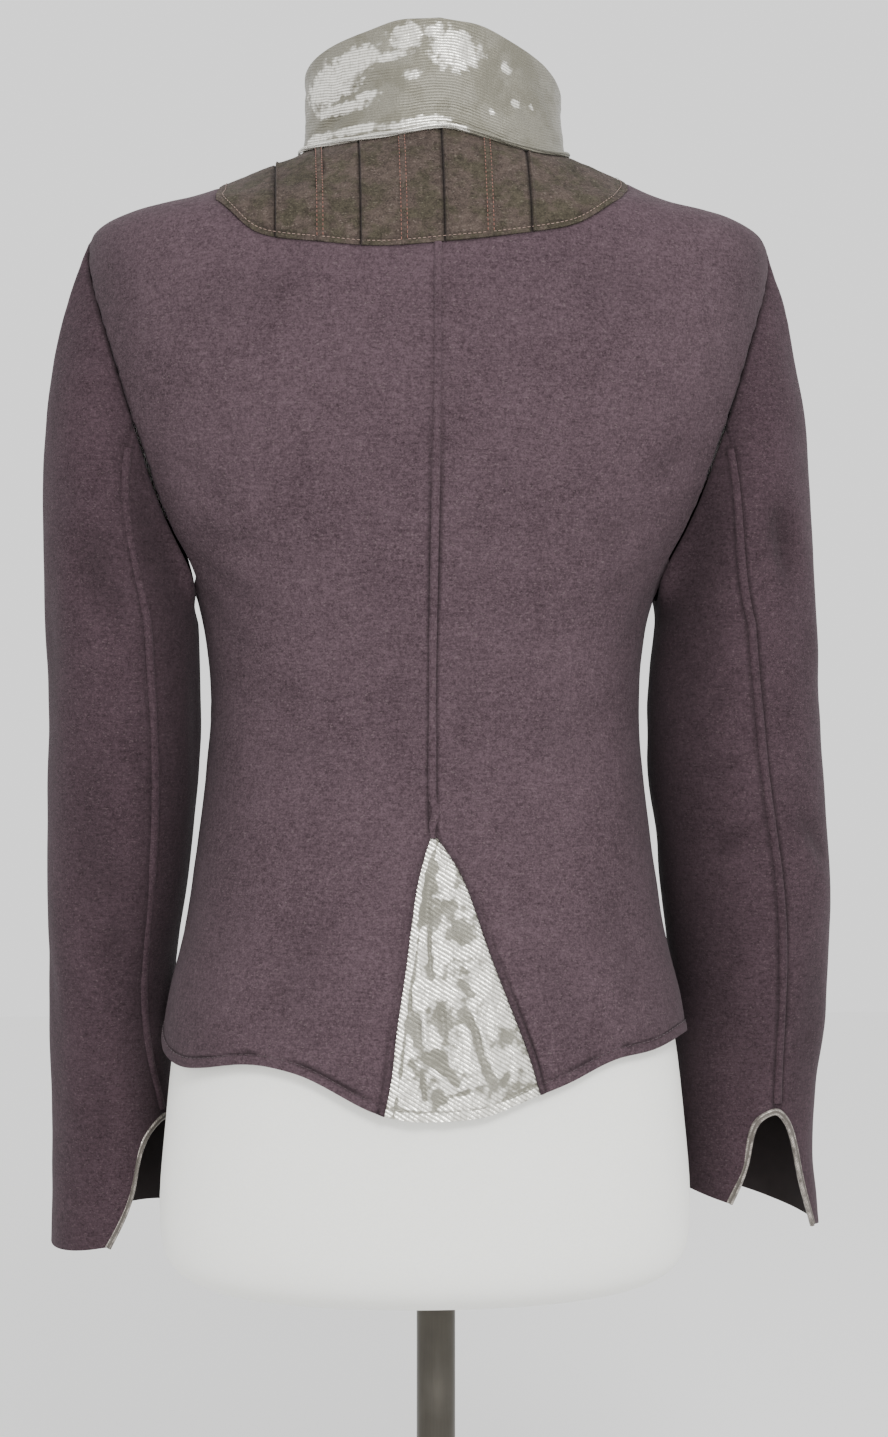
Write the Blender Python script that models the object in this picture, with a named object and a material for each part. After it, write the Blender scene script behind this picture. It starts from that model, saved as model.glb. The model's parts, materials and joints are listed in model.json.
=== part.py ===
"""A fitted felted-wool blazer, filled out on a limbless dress form.

Metres, +Z up. The front faces -Y, the back +Y, and the wearer's left is +X. The origin is on the floor, in
the form's plane of symmetry. Every panel of cloth is a grid laid on one smooth surface of the garment, given
by an angle round the body (0 at the centre back, positive to the wearer's left) and a tape distance up it."""

import math
from collections import namedtuple

import bmesh
import bpy
import numpy as np

MM = 0.001
LEFT, RIGHT = 1, -1
SIDE_NAMES = {LEFT: "left", RIGHT: "right"}

# Cloth
SEAM_GAP = 0.36 * MM
WOOL_WALL = 2.0 * MM
YOKE_WALL = 2.0 * MM
LAME_WALL = 1.4 * MM
COLLAR_WALL = 2.0 * MM
LAYER_GAP = 0.3 * MM
HEM_BAND = 5.5 * MM
HEM_LIFT = 0.7 * MM
WELT_WIDTH = 4.0 * MM
WELT_HEIGHT = 1.3 * MM
TUCK_HEIGHT = 1.3 * MM
TUCK_WIDTH = 3.2 * MM
RAISED_PROFILE = [(-0.5, 0.0), (-0.5, 0.75), (-0.2, 1.0), (0.2, 1.0), (0.5, 0.75), (0.5, 0.0)]

# Front closure
LAP = 13 * MM
LAP_STEP = 18 * MM
LAP_DEPTH = 3.2 * MM
LAP_TURN = 7.4
LAP_FROM = 130
LAP_SHOWS = 0.2 * MM
BUTTON_RADIUS = 10.5 * MM
BUTTON_THICK = 3.4 * MM
BUTTON_ROUND = 1.0 * MM
BUTTON_LIFT = 0.6 * MM
BUTTON_SIDES = 16
BUTTON_HEIGHTS = (0.915, 0.835, 0.755, 0.675, 0.595)

# Stand
POLE_X = -6.5 * MM
POLE_RADIUS = 12 * MM
BASE_RADIUS = 150 * MM
BASE_THICK = 12 * MM
BASE_CHAMFER = 3 * MM
STAND_SIDES = 40
FORM_UNDERSIDE = 0.2880
FORM_EASE = 5.2 * MM
SHOULDER_EASE = 1.6 * MM
SHOULDER_REST = (0.957, 0.972)

# The garment's outside, from below the hem to above the neck
Section = namedtuple("Section", "height half_width back front roundness")
BODY = [
    Section(0.375, 0.1655, 0.1200, 0.1150, 2.20),
    Section(0.430, 0.1640, 0.1170, 0.1120, 2.22),
    Section(0.468, 0.1590, 0.1130, 0.1090, 2.25),
    Section(0.505, 0.1500, 0.1070, 0.1060, 2.22),
    Section(0.543, 0.1435, 0.1010, 0.1030, 2.20),
    Section(0.580, 0.1385, 0.0960, 0.0990, 2.16),
    Section(0.617, 0.1345, 0.0920, 0.0955, 2.12),
    Section(0.654, 0.1330, 0.0905, 0.0955, 2.12),
    Section(0.691, 0.1350, 0.0930, 0.1020, 2.14),
    Section(0.716, 0.1410, 0.0970, 0.1100, 2.16),
    Section(0.745, 0.1560, 0.1015, 0.1200, 2.16),
    Section(0.778, 0.1760, 0.1060, 0.1275, 2.14),
    Section(0.810, 0.1900, 0.1100, 0.1300, 2.12),
    Section(0.840, 0.2000, 0.1130, 0.1240, 2.10),
    Section(0.870, 0.2060, 0.1140, 0.1120, 2.10),
    Section(0.900, 0.2100, 0.1110, 0.0985, 2.08),
    Section(0.922, 0.2110, 0.1065, 0.0880, 2.06),
    Section(0.938, 0.2080, 0.1015, 0.0790, 2.04),
    Section(0.949, 0.1940, 0.0965, 0.0720, 2.02),
    Section(0.959, 0.1570, 0.0905, 0.0650, 2.00),
    Section(0.970, 0.1270, 0.0840, 0.0590, 2.00),
    Section(0.981, 0.1010, 0.0770, 0.0550, 2.00),
    Section(0.991, 0.0800, 0.0690, 0.0520, 2.00),
    Section(1.006, 0.0700, 0.0600, 0.0500, 2.00),
]

# How far the body leans aside at a height
Lean = namedtuple("Lean", "height aside")
LEAN = [Lean(0.37, 0.0), Lean(0.70, 0.0), Lean(0.80, -1.0 * MM), Lean(0.92, -2.2 * MM), Lean(1.01, -4.5 * MM)]

# The armhole, from the armpit up the back to the shoulder and down the front; place runs 0 to 1 round it
Armhole = namedtuple("Armhole", "place angle height")
ARMHOLE = [
    Armhole(0.000, 90.0, 0.7160),
    Armhole(0.050, 80.5, 0.7225),
    Armhole(0.100, 78.0, 0.7440),
    Armhole(0.180, 76.0, 0.7840),
    Armhole(0.280, 76.2, 0.8350),
    Armhole(0.345, 78.5, 0.8690),
    Armhole(0.405, 82.5, 0.8990),
    Armhole(0.458, 86.5, 0.9240),
    Armhole(0.500, 90.0, 0.9400),
    Armhole(0.545, 99.0, 0.9250),
    Armhole(0.610, 105.5, 0.8920),
    Armhole(0.690, 109.5, 0.8500),
    Armhole(0.790, 110.0, 0.7980),
    Armhole(0.880, 107.5, 0.7540),
    Armhole(0.950, 99.5, 0.7240),
    Armhole(1.000, 90.0, 0.7160),
]
ARMHOLE_STEPS = 28
MITRE_LIMIT, MITRE_TURN = 0.6, 0.2
BACK_SEAM_STEP, FRONT_SEAM_STEP = 7, 21

# Each sleeve from the level of the armpit (down 0) to the cuff (down 1): middle, half sizes, and the places of
# its two seams round it
SleeveRing = namedtuple("SleeveRing", "down middle_x middle_y half_x half_y back_seam front_seam")
SLEEVES = {
    LEFT: [
        SleeveRing(0.00, 0.1875, -0.0060, 0.0470, 0.0580, 113, -80),
        SleeveRing(0.14, 0.1865, -0.0130, 0.0475, 0.0560, 115, -78),
        SleeveRing(0.28, 0.1880, -0.0200, 0.0465, 0.0535, 119, -74),
        SleeveRing(0.42, 0.1910, -0.0310, 0.0440, 0.0520, 121, -70),
        SleeveRing(0.56, 0.1955, -0.0430, 0.0400, 0.0510, 124, -66),
        SleeveRing(0.70, 0.1965, -0.0560, 0.0390, 0.0500, 131, -60),
        SleeveRing(0.84, 0.1945, -0.0650, 0.0405, 0.0470, 146, -48),
        SleeveRing(1.00, 0.1930, -0.0680, 0.0430, 0.0450, 153, -42),
    ],
    RIGHT: [
        SleeveRing(0.00, 0.1935, -0.0030, 0.0500, 0.0580, 88, -90),
        SleeveRing(0.14, 0.1930, -0.0070, 0.0540, 0.0565, 82, -92),
        SleeveRing(0.28, 0.1965, -0.0110, 0.0545, 0.0550, 79, -94),
        SleeveRing(0.42, 0.2015, -0.0170, 0.0540, 0.0530, 75, -96),
        SleeveRing(0.56, 0.2055, -0.0280, 0.0512, 0.0505, 73, -97),
        SleeveRing(0.70, 0.2060, -0.0380, 0.0480, 0.0480, 72, -97),
        SleeveRing(0.84, 0.2045, -0.0430, 0.0450, 0.0455, 69, -96),
        SleeveRing(1.00, 0.2075, -0.0450, 0.0465, 0.0440, 66, -95),
    ],
}
SLEEVE_TOP = 0.700
Cuff = namedtuple("Cuff", "height outer_drop back_drop")
CUFFS = {LEFT: Cuff(0.3200, 0.0095, 0.0060), RIGHT: Cuff(0.3365, 0.0140, 0.0020)}
CAP_OUT = {LEFT: 0.42, RIGHT: 0.33}
CAP_DEPTHWISE, CAP_DOWN = 0.30, 0.88
PIT_GAP, PIT_SPREAD = 1.4 * MM, 0.16
CAP_STEPS = (0.0, 0.10, 0.24, 0.42, 0.62, 0.82, 1.0)
ARM_STEPS = (1.14, 1.28, 1.42, 1.56, 1.70)
ARM_START = 0.02
SLEEVE_SEAM_START, SLEEVE_SEAM_SHORT = 0.05, 0.012

# The arched vent at the back seam of each cuff, as the cloth's edge; its binding lies inside it
VENT_TOP = 1.815
VENT_SPREAD = {LEFT: 1.9, RIGHT: 1.0}
Vent = namedtuple("Vent", "down outer inner")
VENT = [
    Vent(0.00, 0.0 * MM, 0.0 * MM),
    Vent(0.03, 5.0 * MM, 6.0 * MM),
    Vent(0.09, 9.0 * MM, 11.5 * MM),
    Vent(0.20, 13.0 * MM, 17.0 * MM),
    Vent(0.38, 16.5 * MM, 21.0 * MM),
    Vent(0.60, 19.5 * MM, 25.0 * MM),
    Vent(0.80, 23.5 * MM, 30.5 * MM),
    Vent(1.00, 28.5 * MM, 37.0 * MM),
]
BINDING_WIDTH = 4.4 * MM
BINDING_THICK = 3.6 * MM

# Hem, yoke and godet edges
Edge = namedtuple("Edge", "angle height")
HEM = [
    Edge(-150, 0.4280), Edge(-120, 0.4430), Edge(-90, 0.4500), Edge(-73, 0.4510), Edge(-59, 0.4445),
    Edge(-50, 0.4420), Edge(-37, 0.4300), Edge(-25, 0.4203), Edge(-17, 0.4133), Edge(-6, 0.4097),
    Edge(6, 0.4094), Edge(14, 0.4121), Edge(24, 0.4217), Edge(36, 0.4348), Edge(42, 0.4384),
    Edge(48, 0.4402), Edge(60, 0.4369), Edge(68, 0.4350), Edge(77, 0.4390), Edge(90, 0.4490),
    Edge(120, 0.4430), Edge(150, 0.4280),
]
HEM_FRONT = 0.4150
YOKE = [
    Edge(-90, 0.9750), Edge(-81, 0.9735), Edge(-72, 0.9690), Edge(-64, 0.9618), Edge(-50, 0.9474),
    Edge(-42, 0.9370), Edge(-33, 0.9313), Edge(-15, 0.9256), Edge(-1, 0.9228), Edge(12, 0.9203),
    Edge(24, 0.9203), Edge(35, 0.9231), Edge(45, 0.9262), Edge(50, 0.9306), Edge(56, 0.9425),
    Edge(61, 0.9505), Edge(73, 0.9630), Edge(80, 0.9670), Edge(90, 0.9695),
]
NECK = [
    Edge(-180, 0.9560), Edge(-150, 0.9660), Edge(-120, 0.9800), Edge(-90, 0.9895), Edge(-65, 0.9850),
    Edge(-45, 0.9835), Edge(-32, 0.9880), Edge(-18, 0.9935), Edge(-5, 0.9967), Edge(5, 0.9960),
    Edge(16, 0.9930), Edge(35, 0.9900), Edge(54, 0.9885), Edge(75, 0.9895), Edge(90, 0.9910),
    Edge(120, 0.9820), Edge(150, 0.9660), Edge(180, 0.9560),
]

# The godet's sides: rise is 0 at the hem and 1 at its tip, then an angle for each side
GODET_TOP = 0.5770
GODET_FADE = 0.80
Godet = namedtuple("Godet", "rise left right")
GODET = [
    Godet(0.00, 14.2, -29.2), Godet(0.12, 12.4, -27.2), Godet(0.29, 11.0, -23.4), Godet(0.48, 8.9, -18.9),
    Godet(0.67, 7.0, -14.4), Godet(0.86, 4.1, -8.4), Godet(1.00, 0.0, 0.0),
]

# Pin tucks down the yoke, as distances from its middle (positive to the wearer's left)
TUCKS = [spot * MM for spot in (92, 66.5, 42, 17.5, -7.2, -33.2, -58.7)]
YOKE_ANGLES = (0, 12, 24, 36, 46, 54, 62, 67, 72, 78, 84, 90)
YOKE_CORNER = 62
YOKE_ROWS = 6
FAN_START, FAN_WIDTH = 60 * MM, 30 * MM

# How finely the panels are cut
SIDE_ROWS = 9
SHOULDER_COLUMNS = 3
NECK_COLUMNS = 6
GODET_ROWS, GODET_COLUMNS = 7, 6
WELT_ROWS = 22
COLLAR_ROWS, COLLAR_COLUMNS = 6, 33
ROLL_COLUMNS = 35

# The collar's upper edge, round from the centre back
CollarTop = namedtuple("CollarTop", "angle reach height")
COLLAR_LEFT = [
    CollarTop(0, 0.0700, 1.0610), CollarTop(45, 0.0745, 1.0525), CollarTop(90, 0.0800, 1.0365),
    CollarTop(135, 0.0680, 1.0130), CollarTop(174, 0.0600, 0.9900),
]
COLLAR_RIGHT = [
    CollarTop(0, 0.0700, 1.0610), CollarTop(45, 0.0745, 1.0460), CollarTop(90, 0.0790, 1.0240),
    CollarTop(135, 0.0680, 1.0060), CollarTop(174, 0.0600, 0.9870),
]
COLLAR_SHIFT = -5.0 * MM
COLLAR_ROLL_RADIUS = 1.9 * MM
COLLAR_END, ROLL_END = 173, 165
COLLAR_LIFT = 0.15 * MM
COLLAR_CORNER, COLLAR_CORNER_DROP = 14, 0.18

# The form below the hem and at the neck
FORM_FOOT = [
    Section(0.2880, 0.0450, 0.0320, 0.0320, 2.0),
    Section(0.2895, 0.0950, 0.0640, 0.0640, 2.1),
    Section(0.2935, 0.1290, 0.0830, 0.0830, 2.2),
    Section(0.3005, 0.1480, 0.0950, 0.0950, 2.2),
    Section(0.3110, 0.1590, 0.1020, 0.1020, 2.2),
    Section(0.3300, 0.1638, 0.1058, 0.1058, 2.2),
    Section(0.3600, 0.1636, 0.1072, 0.1066, 2.2),
    Section(0.3950, 0.1605, 0.1080, 0.1060, 2.2),
]
FORM_BODY_HEIGHTS = (
    0.435, 0.480, 0.525, 0.575, 0.630, 0.680, 0.720, 0.755, 0.790, 0.825, 0.860, 0.890, 0.915, 0.932, 0.944,
    0.955, 0.966, 0.977,
)
FORM_NECK = [
    Section(0.9880, 0.0700, 0.0620, 0.0490, 2.0),
    Section(1.0030, 0.0600, 0.0540, 0.0510, 2.0),
    Section(1.0200, 0.0575, 0.0500, 0.0530, 2.0),
    Section(1.0300, 0.0560, 0.0485, 0.0515, 2.0),
    Section(1.0330, 0.0500, 0.0430, 0.0460, 2.0),
]
FORM_SIDES = 30
SMOOTH_UNDER = 40


class Spline:
    """A natural cubic spline through knots (x, y); y may have several columns."""

    def __init__(self, x, y):
        self.x, self.y = np.array(x, float), np.array(y, float)
        step = np.diff(self.x)
        count = len(self.x)
        system, right = np.eye(count), np.zeros_like(self.y)
        for i in range(1, count - 1):
            system[i, i - 1:i + 2] = step[i - 1], 2 * (step[i - 1] + step[i]), step[i]
            rise = (self.y[i + 1] - self.y[i]) / step[i] - (self.y[i] - self.y[i - 1]) / step[i - 1]
            right[i] = 6 * rise
        self.bend = np.linalg.solve(system, right)

    def __call__(self, at):
        at = np.clip(np.asarray(at, float), self.x[0], self.x[-1])
        i = np.clip(np.searchsorted(self.x, at, side="right") - 1, 0, len(self.x) - 2)
        step = self.x[i + 1] - self.x[i]
        a, b = (self.x[i + 1] - at) / step, (at - self.x[i]) / step
        if self.y.ndim > 1:
            a, b, step = a[..., None], b[..., None], step[..., None]
        curve = (a**3 - a) * self.bend[i] + (b**3 - b) * self.bend[i + 1]
        return a * self.y[i] + b * self.y[i + 1] + curve * step**2 / 6


def edge_spline(rows):
    return Spline([row.angle for row in rows], [row.height for row in rows])


def tape_marks(rows):
    """Distance up a stack of sections, along their sides."""
    side = np.array([(row.half_width, row.height) for row in rows])
    return np.concatenate([[0], np.cumsum(np.linalg.norm(np.diff(side, axis=0), axis=1))])


def unit(vectors):
    return vectors / np.maximum(np.linalg.norm(vectors, axis=-1, keepdims=True), 1e-12)


def smooth_step(x):
    x = np.clip(x, 0, 1)
    return x * x * (3 - 2 * x)


BODY_TAPE = tape_marks(BODY)
BODY_SPLINE = Spline(BODY_TAPE, np.array(BODY))
FINE_TAPE = np.linspace(0, BODY_TAPE[-1], 2000)
FINE_HEIGHT = BODY_SPLINE(FINE_TAPE)[:, 0]
LEAN_SPLINE = Spline([row.height for row in LEAN], [row.aside for row in LEAN])
HEM_SPLINE, YOKE_SPLINE, NECK_SPLINE = edge_spline(HEM), edge_spline(YOKE), edge_spline(NECK)


def tape_at(height):
    return np.interp(height, FINE_HEIGHT, FINE_TAPE)


def ring_point(angle, sections):
    """Points at an angle (degrees) on rounded sections given as rows of height, sizes and roundness."""
    turn = np.radians(angle)
    height, half_width, back, front, roundness = np.moveaxis(sections, -1, 0)
    depth = np.where(np.cos(turn) > 0, back, front)
    sine, cosine = np.sin(turn), np.cos(turn)
    power = np.abs(sine / half_width)**roundness + np.abs(cosine / depth)**roundness
    reach = power**(-1 / roundness)
    return np.stack([reach * sine, reach * cosine, height], axis=-1)


def body_point(angle, tape):
    angle, tape = np.broadcast_arrays(np.asarray(angle, float), np.asarray(tape, float))
    sections = BODY_SPLINE(tape)
    points = ring_point(angle, sections)
    points[..., 0] += LEAN_SPLINE(sections[..., 0])
    return points


def body_normal(angle, tape):
    turn, rise = 0.2, 0.4 * MM
    across = body_point(np.asarray(angle) + turn, tape) - body_point(np.asarray(angle) - turn, tape)
    up = body_point(angle, np.asarray(tape) + rise) - body_point(angle, np.asarray(tape) - rise)
    return unit(np.cross(up, across))


def hem_height(angle):
    """The wavy hem; past the last row of its table it runs on to the centre front."""
    angle = np.asarray(angle, float)
    last = HEM[-1].angle
    toward = smooth_step((np.abs(angle) - last) / (180 - last))
    edge = HEM_SPLINE(np.clip(angle, -last, last))
    return edge + (HEM_FRONT - edge) * toward


def neck_height(angle):
    return NECK_SPLINE((np.asarray(angle, float) + 180) % 360 - 180)


def armhole(place):
    """(angle, tape) of the armhole seam at places 0 to 1 round it, on the left of the body."""
    rows = np.array(ARMHOLE)
    lead = rows[-4:-1] - (1, 0, 0)
    follow = rows[1:4] + (1, 0, 0)
    knots = np.concatenate([lead, rows, follow])
    curve = Spline(knots[:, 0], np.column_stack([knots[:, 1], tape_at(knots[:, 2])]))(np.asarray(place) % 1.0)
    return curve[..., 0], curve[..., 1]


def armhole_point(side, place):
    angle, tape = armhole(place)
    return body_point(side * angle, tape), body_normal(side * angle, tape)


def coons(bottom, top, left, right):
    """A grid of (angle, tape) rows from four edges, whose ends meet."""
    across = np.linspace(0, 1, len(bottom))[None, :, None]
    up = np.linspace(0, 1, len(left))[:, None, None]
    ruled = (1 - up) * bottom[None] + up * top[None] + (1 - across) * left[:, None] + across * right[:, None]
    corners = ((1 - up) * ((1 - across) * bottom[0] + across * bottom[-1])
               + up * ((1 - across) * top[0] + across * top[-1]))
    return ruled - corners


def edge(angles, heights):
    """An edge as (angle, tape) pairs from angles and heights."""
    angles, heights = np.broadcast_arrays(np.asarray(angles, float), np.asarray(heights, float))
    return np.column_stack([angles, tape_at(heights)])


def trimmed(points, gap=SEAM_GAP, sides="lrbt"):
    """The grid with its edges drawn back by half a seam gap, square to each edge."""
    points = points.copy()
    lines = {"l": (points[:, 0], points[:, 1]), "r": (points[:, -1], points[:, -2]),
             "b": (points[0], points[1]), "t": (points[-1], points[-2])}
    moves = []
    for side in sides:
        rim, inside = lines[side]
        along = unit(np.gradient(rim, axis=0))
        inward = inside - rim
        inward = inward - np.sum(inward * along, axis=-1, keepdims=True) * along
        moves.append((rim, unit(inward) * gap / 2))
    for rim, move in moves:
        rim += move
    return points


def clear_scene():
    for item in list(bpy.data.objects):
        bpy.data.objects.remove(item, do_unlink=True)


def material(name, colour, roughness, metallic=0.0):
    made = bpy.data.materials.new(name)
    made.use_nodes = True
    shader = made.node_tree.nodes["Principled BSDF"]
    shader.inputs["Base Color"].default_value = (*colour, 1)
    shader.inputs["Roughness"].default_value = roughness
    shader.inputs["Metallic"].default_value = metallic
    return made


def add_object(name, vertices, faces, finish):
    """One closed body as an object, its faces turned outwards."""
    shape = bmesh.new()
    corners = [shape.verts.new(vertex) for vertex in vertices]
    for face in faces:
        shape.faces.new([corners[i] for i in face])
    bmesh.ops.recalc_face_normals(shape, faces=shape.faces)
    bmesh.ops.triangulate(shape, faces=shape.faces)
    mesh = bpy.data.meshes.new(name)
    shape.to_mesh(mesh)
    shape.free()
    mesh.materials.append(finish)
    mesh.shade_smooth()
    mesh.set_sharp_from_angle(angle=math.radians(SMOOTH_UNDER))
    made = bpy.data.objects.new(name, mesh)
    bpy.context.collection.objects.link(made)
    return made


def grid_faces(rows, columns, start=0, closed=False):
    """Quads of a grid of points numbered row by row; closed joins its last column to its first."""
    faces = []
    for row in range(rows - 1):
        for column in range(columns if closed else columns - 1):
            beside = (column + 1) % columns
            below, above = start + row * columns, start + (row + 1) * columns
            faces.append((below + column, below + beside, above + beside, above + column))
    return faces


def wall(name, outer, inner, finish):
    """A wall of cloth between an outer and an inner grid of the same size, closed round its rim."""
    rows, columns = outer.shape[:2]
    count = rows * columns
    rim = list(range(columns))
    rim += [row * columns + columns - 1 for row in range(1, rows)]
    rim += [count - 1 - column for column in range(1, columns)]
    rim += [row * columns for row in range(rows - 2, 0, -1)]
    faces = grid_faces(rows, columns)
    faces += [tuple(reversed(face)) for face in grid_faces(rows, columns, start=count)]
    for here, there in zip(rim, rim[1:] + rim[:1]):
        faces.append((there, here, here + count, there + count))
    vertices = np.concatenate([outer.reshape(-1, 3), inner.reshape(-1, 3)])
    return add_object(name, vertices, faces, finish)


def bar(name, path, across, out, width, height, finish, sides=4):
    """A solid strip along a path: across and out are its directions, width and height its section."""
    if sides == 4:
        section = RAISED_PROFILE
    else:
        turns = np.arange(sides) * 2 * math.pi / sides
        section = [(0.5 * math.cos(turn), 0.5 * math.sin(turn)) for turn in turns]
    rings = [path + across * width * x + out * height * y for x, y in section]
    points = np.stack(rings, axis=1)
    faces = grid_faces(len(path), len(section), closed=True)
    last = (len(path) - 1) * len(section)
    faces.append(tuple(range(len(section)))[::-1])
    faces.append(tuple(last + i for i in range(len(section))))
    return add_object(name, points.reshape(-1, 3), faces, finish)


def panel(name, grid, thickness, finish, lift=None, mitre=None):
    """A body panel from its (angle, tape) grid: lift moves the outside out, mitre is the armhole's edge."""
    outer = body_point(grid[..., 0], grid[..., 1])
    normals = body_normal(grid[..., 0], grid[..., 1])
    depth = normals * thickness
    if mitre is not None:
        depth[-len(mitre):, -1] = mitre * thickness
    outer = trimmed(outer)
    inner = outer - depth
    if lift is not None:
        raised, sunk = lift
        outer = outer + normals * raised[..., None]
        inner = inner + normals * sunk[..., None]
    return wall(name, outer, inner, finish)


def sleeve_ring(side, down, turn):
    """Points of the sleeve below the armpit; turn is in degrees, 0 outwards and 90 to the back."""
    rows = np.array(SLEEVES[side])
    middle_x, middle_y, half_x, half_y = np.moveaxis(Spline(rows[:, 0], rows[:, 1:5])(down), -1, 0)
    angle = np.radians(turn)
    cuff = CUFFS[side].height - CUFFS[side].outer_drop * np.cos(angle) - CUFFS[side].back_drop * np.sin(angle)
    x = middle_x + half_x * np.cos(angle)
    y = middle_y + half_y * np.sin(angle)
    z = SLEEVE_TOP + (cuff - SLEEVE_TOP) * down
    return np.stack([side * x, y, z], axis=-1)


def sleeve_point(side, place, reach):
    """Points of the sleeve: reach 0 at the armhole, 1 at the armpit's level and 2 at the cuff."""
    place, reach = np.broadcast_arrays(np.asarray(place, float), np.asarray(reach, float))
    turn = 180 - 360 * place
    low = sleeve_ring(side, np.clip(reach - 1, 0, 1), turn)
    pit = 1 - smooth_step(np.minimum(place % 1, 1 - place % 1) / PIT_SPREAD)
    start, out = armhole_point(side, place)
    start = start + out * (pit * PIT_GAP)[..., None]
    end = sleeve_ring(side, np.zeros_like(place), turn)
    chord = np.linalg.norm(end - start, axis=-1, keepdims=True)
    sine = np.sin(np.radians(turn))[..., None]
    leave = unit(side * CAP_OUT[side] * np.array([1.0, 0, 0]) + CAP_DEPTHWISE * sine * np.array([0, 1.0, 0])
                 - CAP_DOWN * np.array([0, 0, 1.0])) * chord
    arrive = unit(sleeve_ring(side, np.full_like(place, ARM_START), turn) - end) * chord
    t = np.clip(reach, 0, 1)[..., None]
    cap = ((2 * t**3 - 3 * t**2 + 1) * start + (t**3 - 2 * t**2 + t) * leave
           + (3 * t**2 - 2 * t**3) * end + (t**3 - t**2) * arrive)
    return np.where(reach[..., None] > 1, low, cap)


def sleeve_normal(side, place, reach):
    turn, slide = 0.002, 0.004
    reach = np.clip(reach, 0, 2 - slide)
    across = sleeve_point(side, place + turn, reach) - sleeve_point(side, place - turn, reach)
    down = sleeve_point(side, place, reach + slide) - sleeve_point(side, place, np.maximum(reach - slide, 0))
    return unit(np.cross(across, down)) * side


def armhole_mitre(side, place):
    """How far in the walls of body and sleeve go where they share the armhole, for a wall 1 thick."""
    body = armhole_point(side, place)[1]
    sleeve = sleeve_normal(side, place, np.zeros_like(place))
    together = np.sum(body * sleeve, axis=-1, keepdims=True)
    shared = (body + sleeve) / np.maximum(1 + together, MITRE_LIMIT)
    share = smooth_step((together + MITRE_TURN) / MITRE_LIMIT)
    return body * (1 - share) + shared * share, sleeve * (1 - share) + shared * share


def seam_place(side, reach, seam):
    """Where a sleeve seam lies round the sleeve; seam is back_seam or front_seam."""
    rows = SLEEVES[side]
    start = (BACK_SEAM_STEP if seam == "back_seam" else FRONT_SEAM_STEP) / ARMHOLE_STEPS
    places = [start] + [(180 - getattr(row, seam)) / 360 for row in rows]
    return Spline([0] + [1 + row.down for row in rows], places)(reach)


def sleeve_rows():
    vent = [VENT_TOP + (2 - VENT_TOP) * row.down for row in VENT]
    return np.array(CAP_STEPS + ARM_STEPS + tuple(vent))


def vent_half(side, reach, leg):
    """How far the vent's edge lies from the seam, in places round the sleeve."""
    rows = Spline([row.down for row in VENT], [getattr(row, leg) for row in VENT])
    half = np.maximum(rows((reach - VENT_TOP) / (2 - VENT_TOP)), 0)
    if leg == "outer":
        half = half * VENT_SPREAD[side]
    ring = SLEEVES[side][-1]
    return np.where(reach > VENT_TOP, half / (2 * math.pi * (ring.half_x + ring.half_y) / 2), 0)


def build_sleeve(side, finish):
    """The upper and under sleeve, the welt on their back seam and the vent's binding."""
    label = SIDE_NAMES[side]
    rows = sleeve_rows()
    back, front = seam_place(side, rows, "back_seam"), seam_place(side, rows, "front_seam")
    upper = (back + vent_half(side, rows, "outer"), front, FRONT_SEAM_STEP - BACK_SEAM_STEP)
    under = (front, back + 1 - vent_half(side, rows, "inner"), ARMHOLE_STEPS - FRONT_SEAM_STEP + BACK_SEAM_STEP)
    for kind, (start, stop, columns) in (("upper", upper), ("under", under)):
        share = np.linspace(0, 1, columns + 1)[None]
        place = start[:, None] * (1 - share) + stop[:, None] * share
        reach = np.broadcast_to(rows[:, None], place.shape)
        outer = sleeve_point(side, place, reach)
        depth = sleeve_normal(side, place, reach)
        depth[0] = armhole_mitre(side, place[0])[1]
        outer = trimmed(outer)
        wall(f"sleeve_{kind}_{label}", outer, outer - depth * WOOL_WALL, finish["wool"])
    seam_end = VENT_TOP - SLEEVE_SEAM_SHORT
    seam_rows = np.append(rows[(rows > SLEEVE_SEAM_START) & (rows < seam_end)], seam_end)
    place = seam_place(side, seam_rows, "back_seam")
    path = sleeve_point(side, place, seam_rows)
    out = sleeve_normal(side, place, seam_rows)
    across = unit(np.cross(out, np.gradient(path, axis=0)))
    bar(f"sleeve_seam_{label}", path + out * LAYER_GAP, across, out, WELT_WIDTH, WELT_HEIGHT, finish["wool"])
    build_binding(side, finish)


def build_binding(side, finish):
    """The bound edge of the vent: a bead just inside the cloth's arched edge, from tip to tip."""
    reach = np.array([VENT_TOP + (2 - VENT_TOP) * row.down for row in VENT])
    seam = seam_place(side, reach, "back_seam")
    outer_leg = seam + vent_half(side, reach, "outer")
    inner_leg = seam - vent_half(side, reach, "inner")
    place = np.concatenate([outer_leg[:0:-1], inner_leg])
    reach = np.concatenate([reach[:0:-1], reach])
    path = sleeve_point(side, place, reach)
    out = sleeve_normal(side, place, reach)
    along = unit(np.gradient(path, axis=0))
    inward = -unit(np.cross(out, along)) * side
    path = path + inward * (BINDING_WIDTH / 2 + LAYER_GAP) - out * WOOL_WALL / 2
    bar(f"cuff_binding_{SIDE_NAMES[side]}", path, inward, out, BINDING_WIDTH, BINDING_THICK,
        finish["lame"], sides=8)


def side_edge(side):
    """The side seam from the hem to the armpit, then the armhole's back half to the shoulder."""
    hem = tape_at(hem_height(side * 90.0))
    pit = armhole(0.0)[1]
    climb = np.linspace(hem, pit, SIDE_ROWS + 1)[:-1]
    seam = np.column_stack([np.full(len(climb), 90.0), climb])
    return seam, np.linspace(0, 0.5, ARMHOLE_STEPS // 2 + 1)


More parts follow.
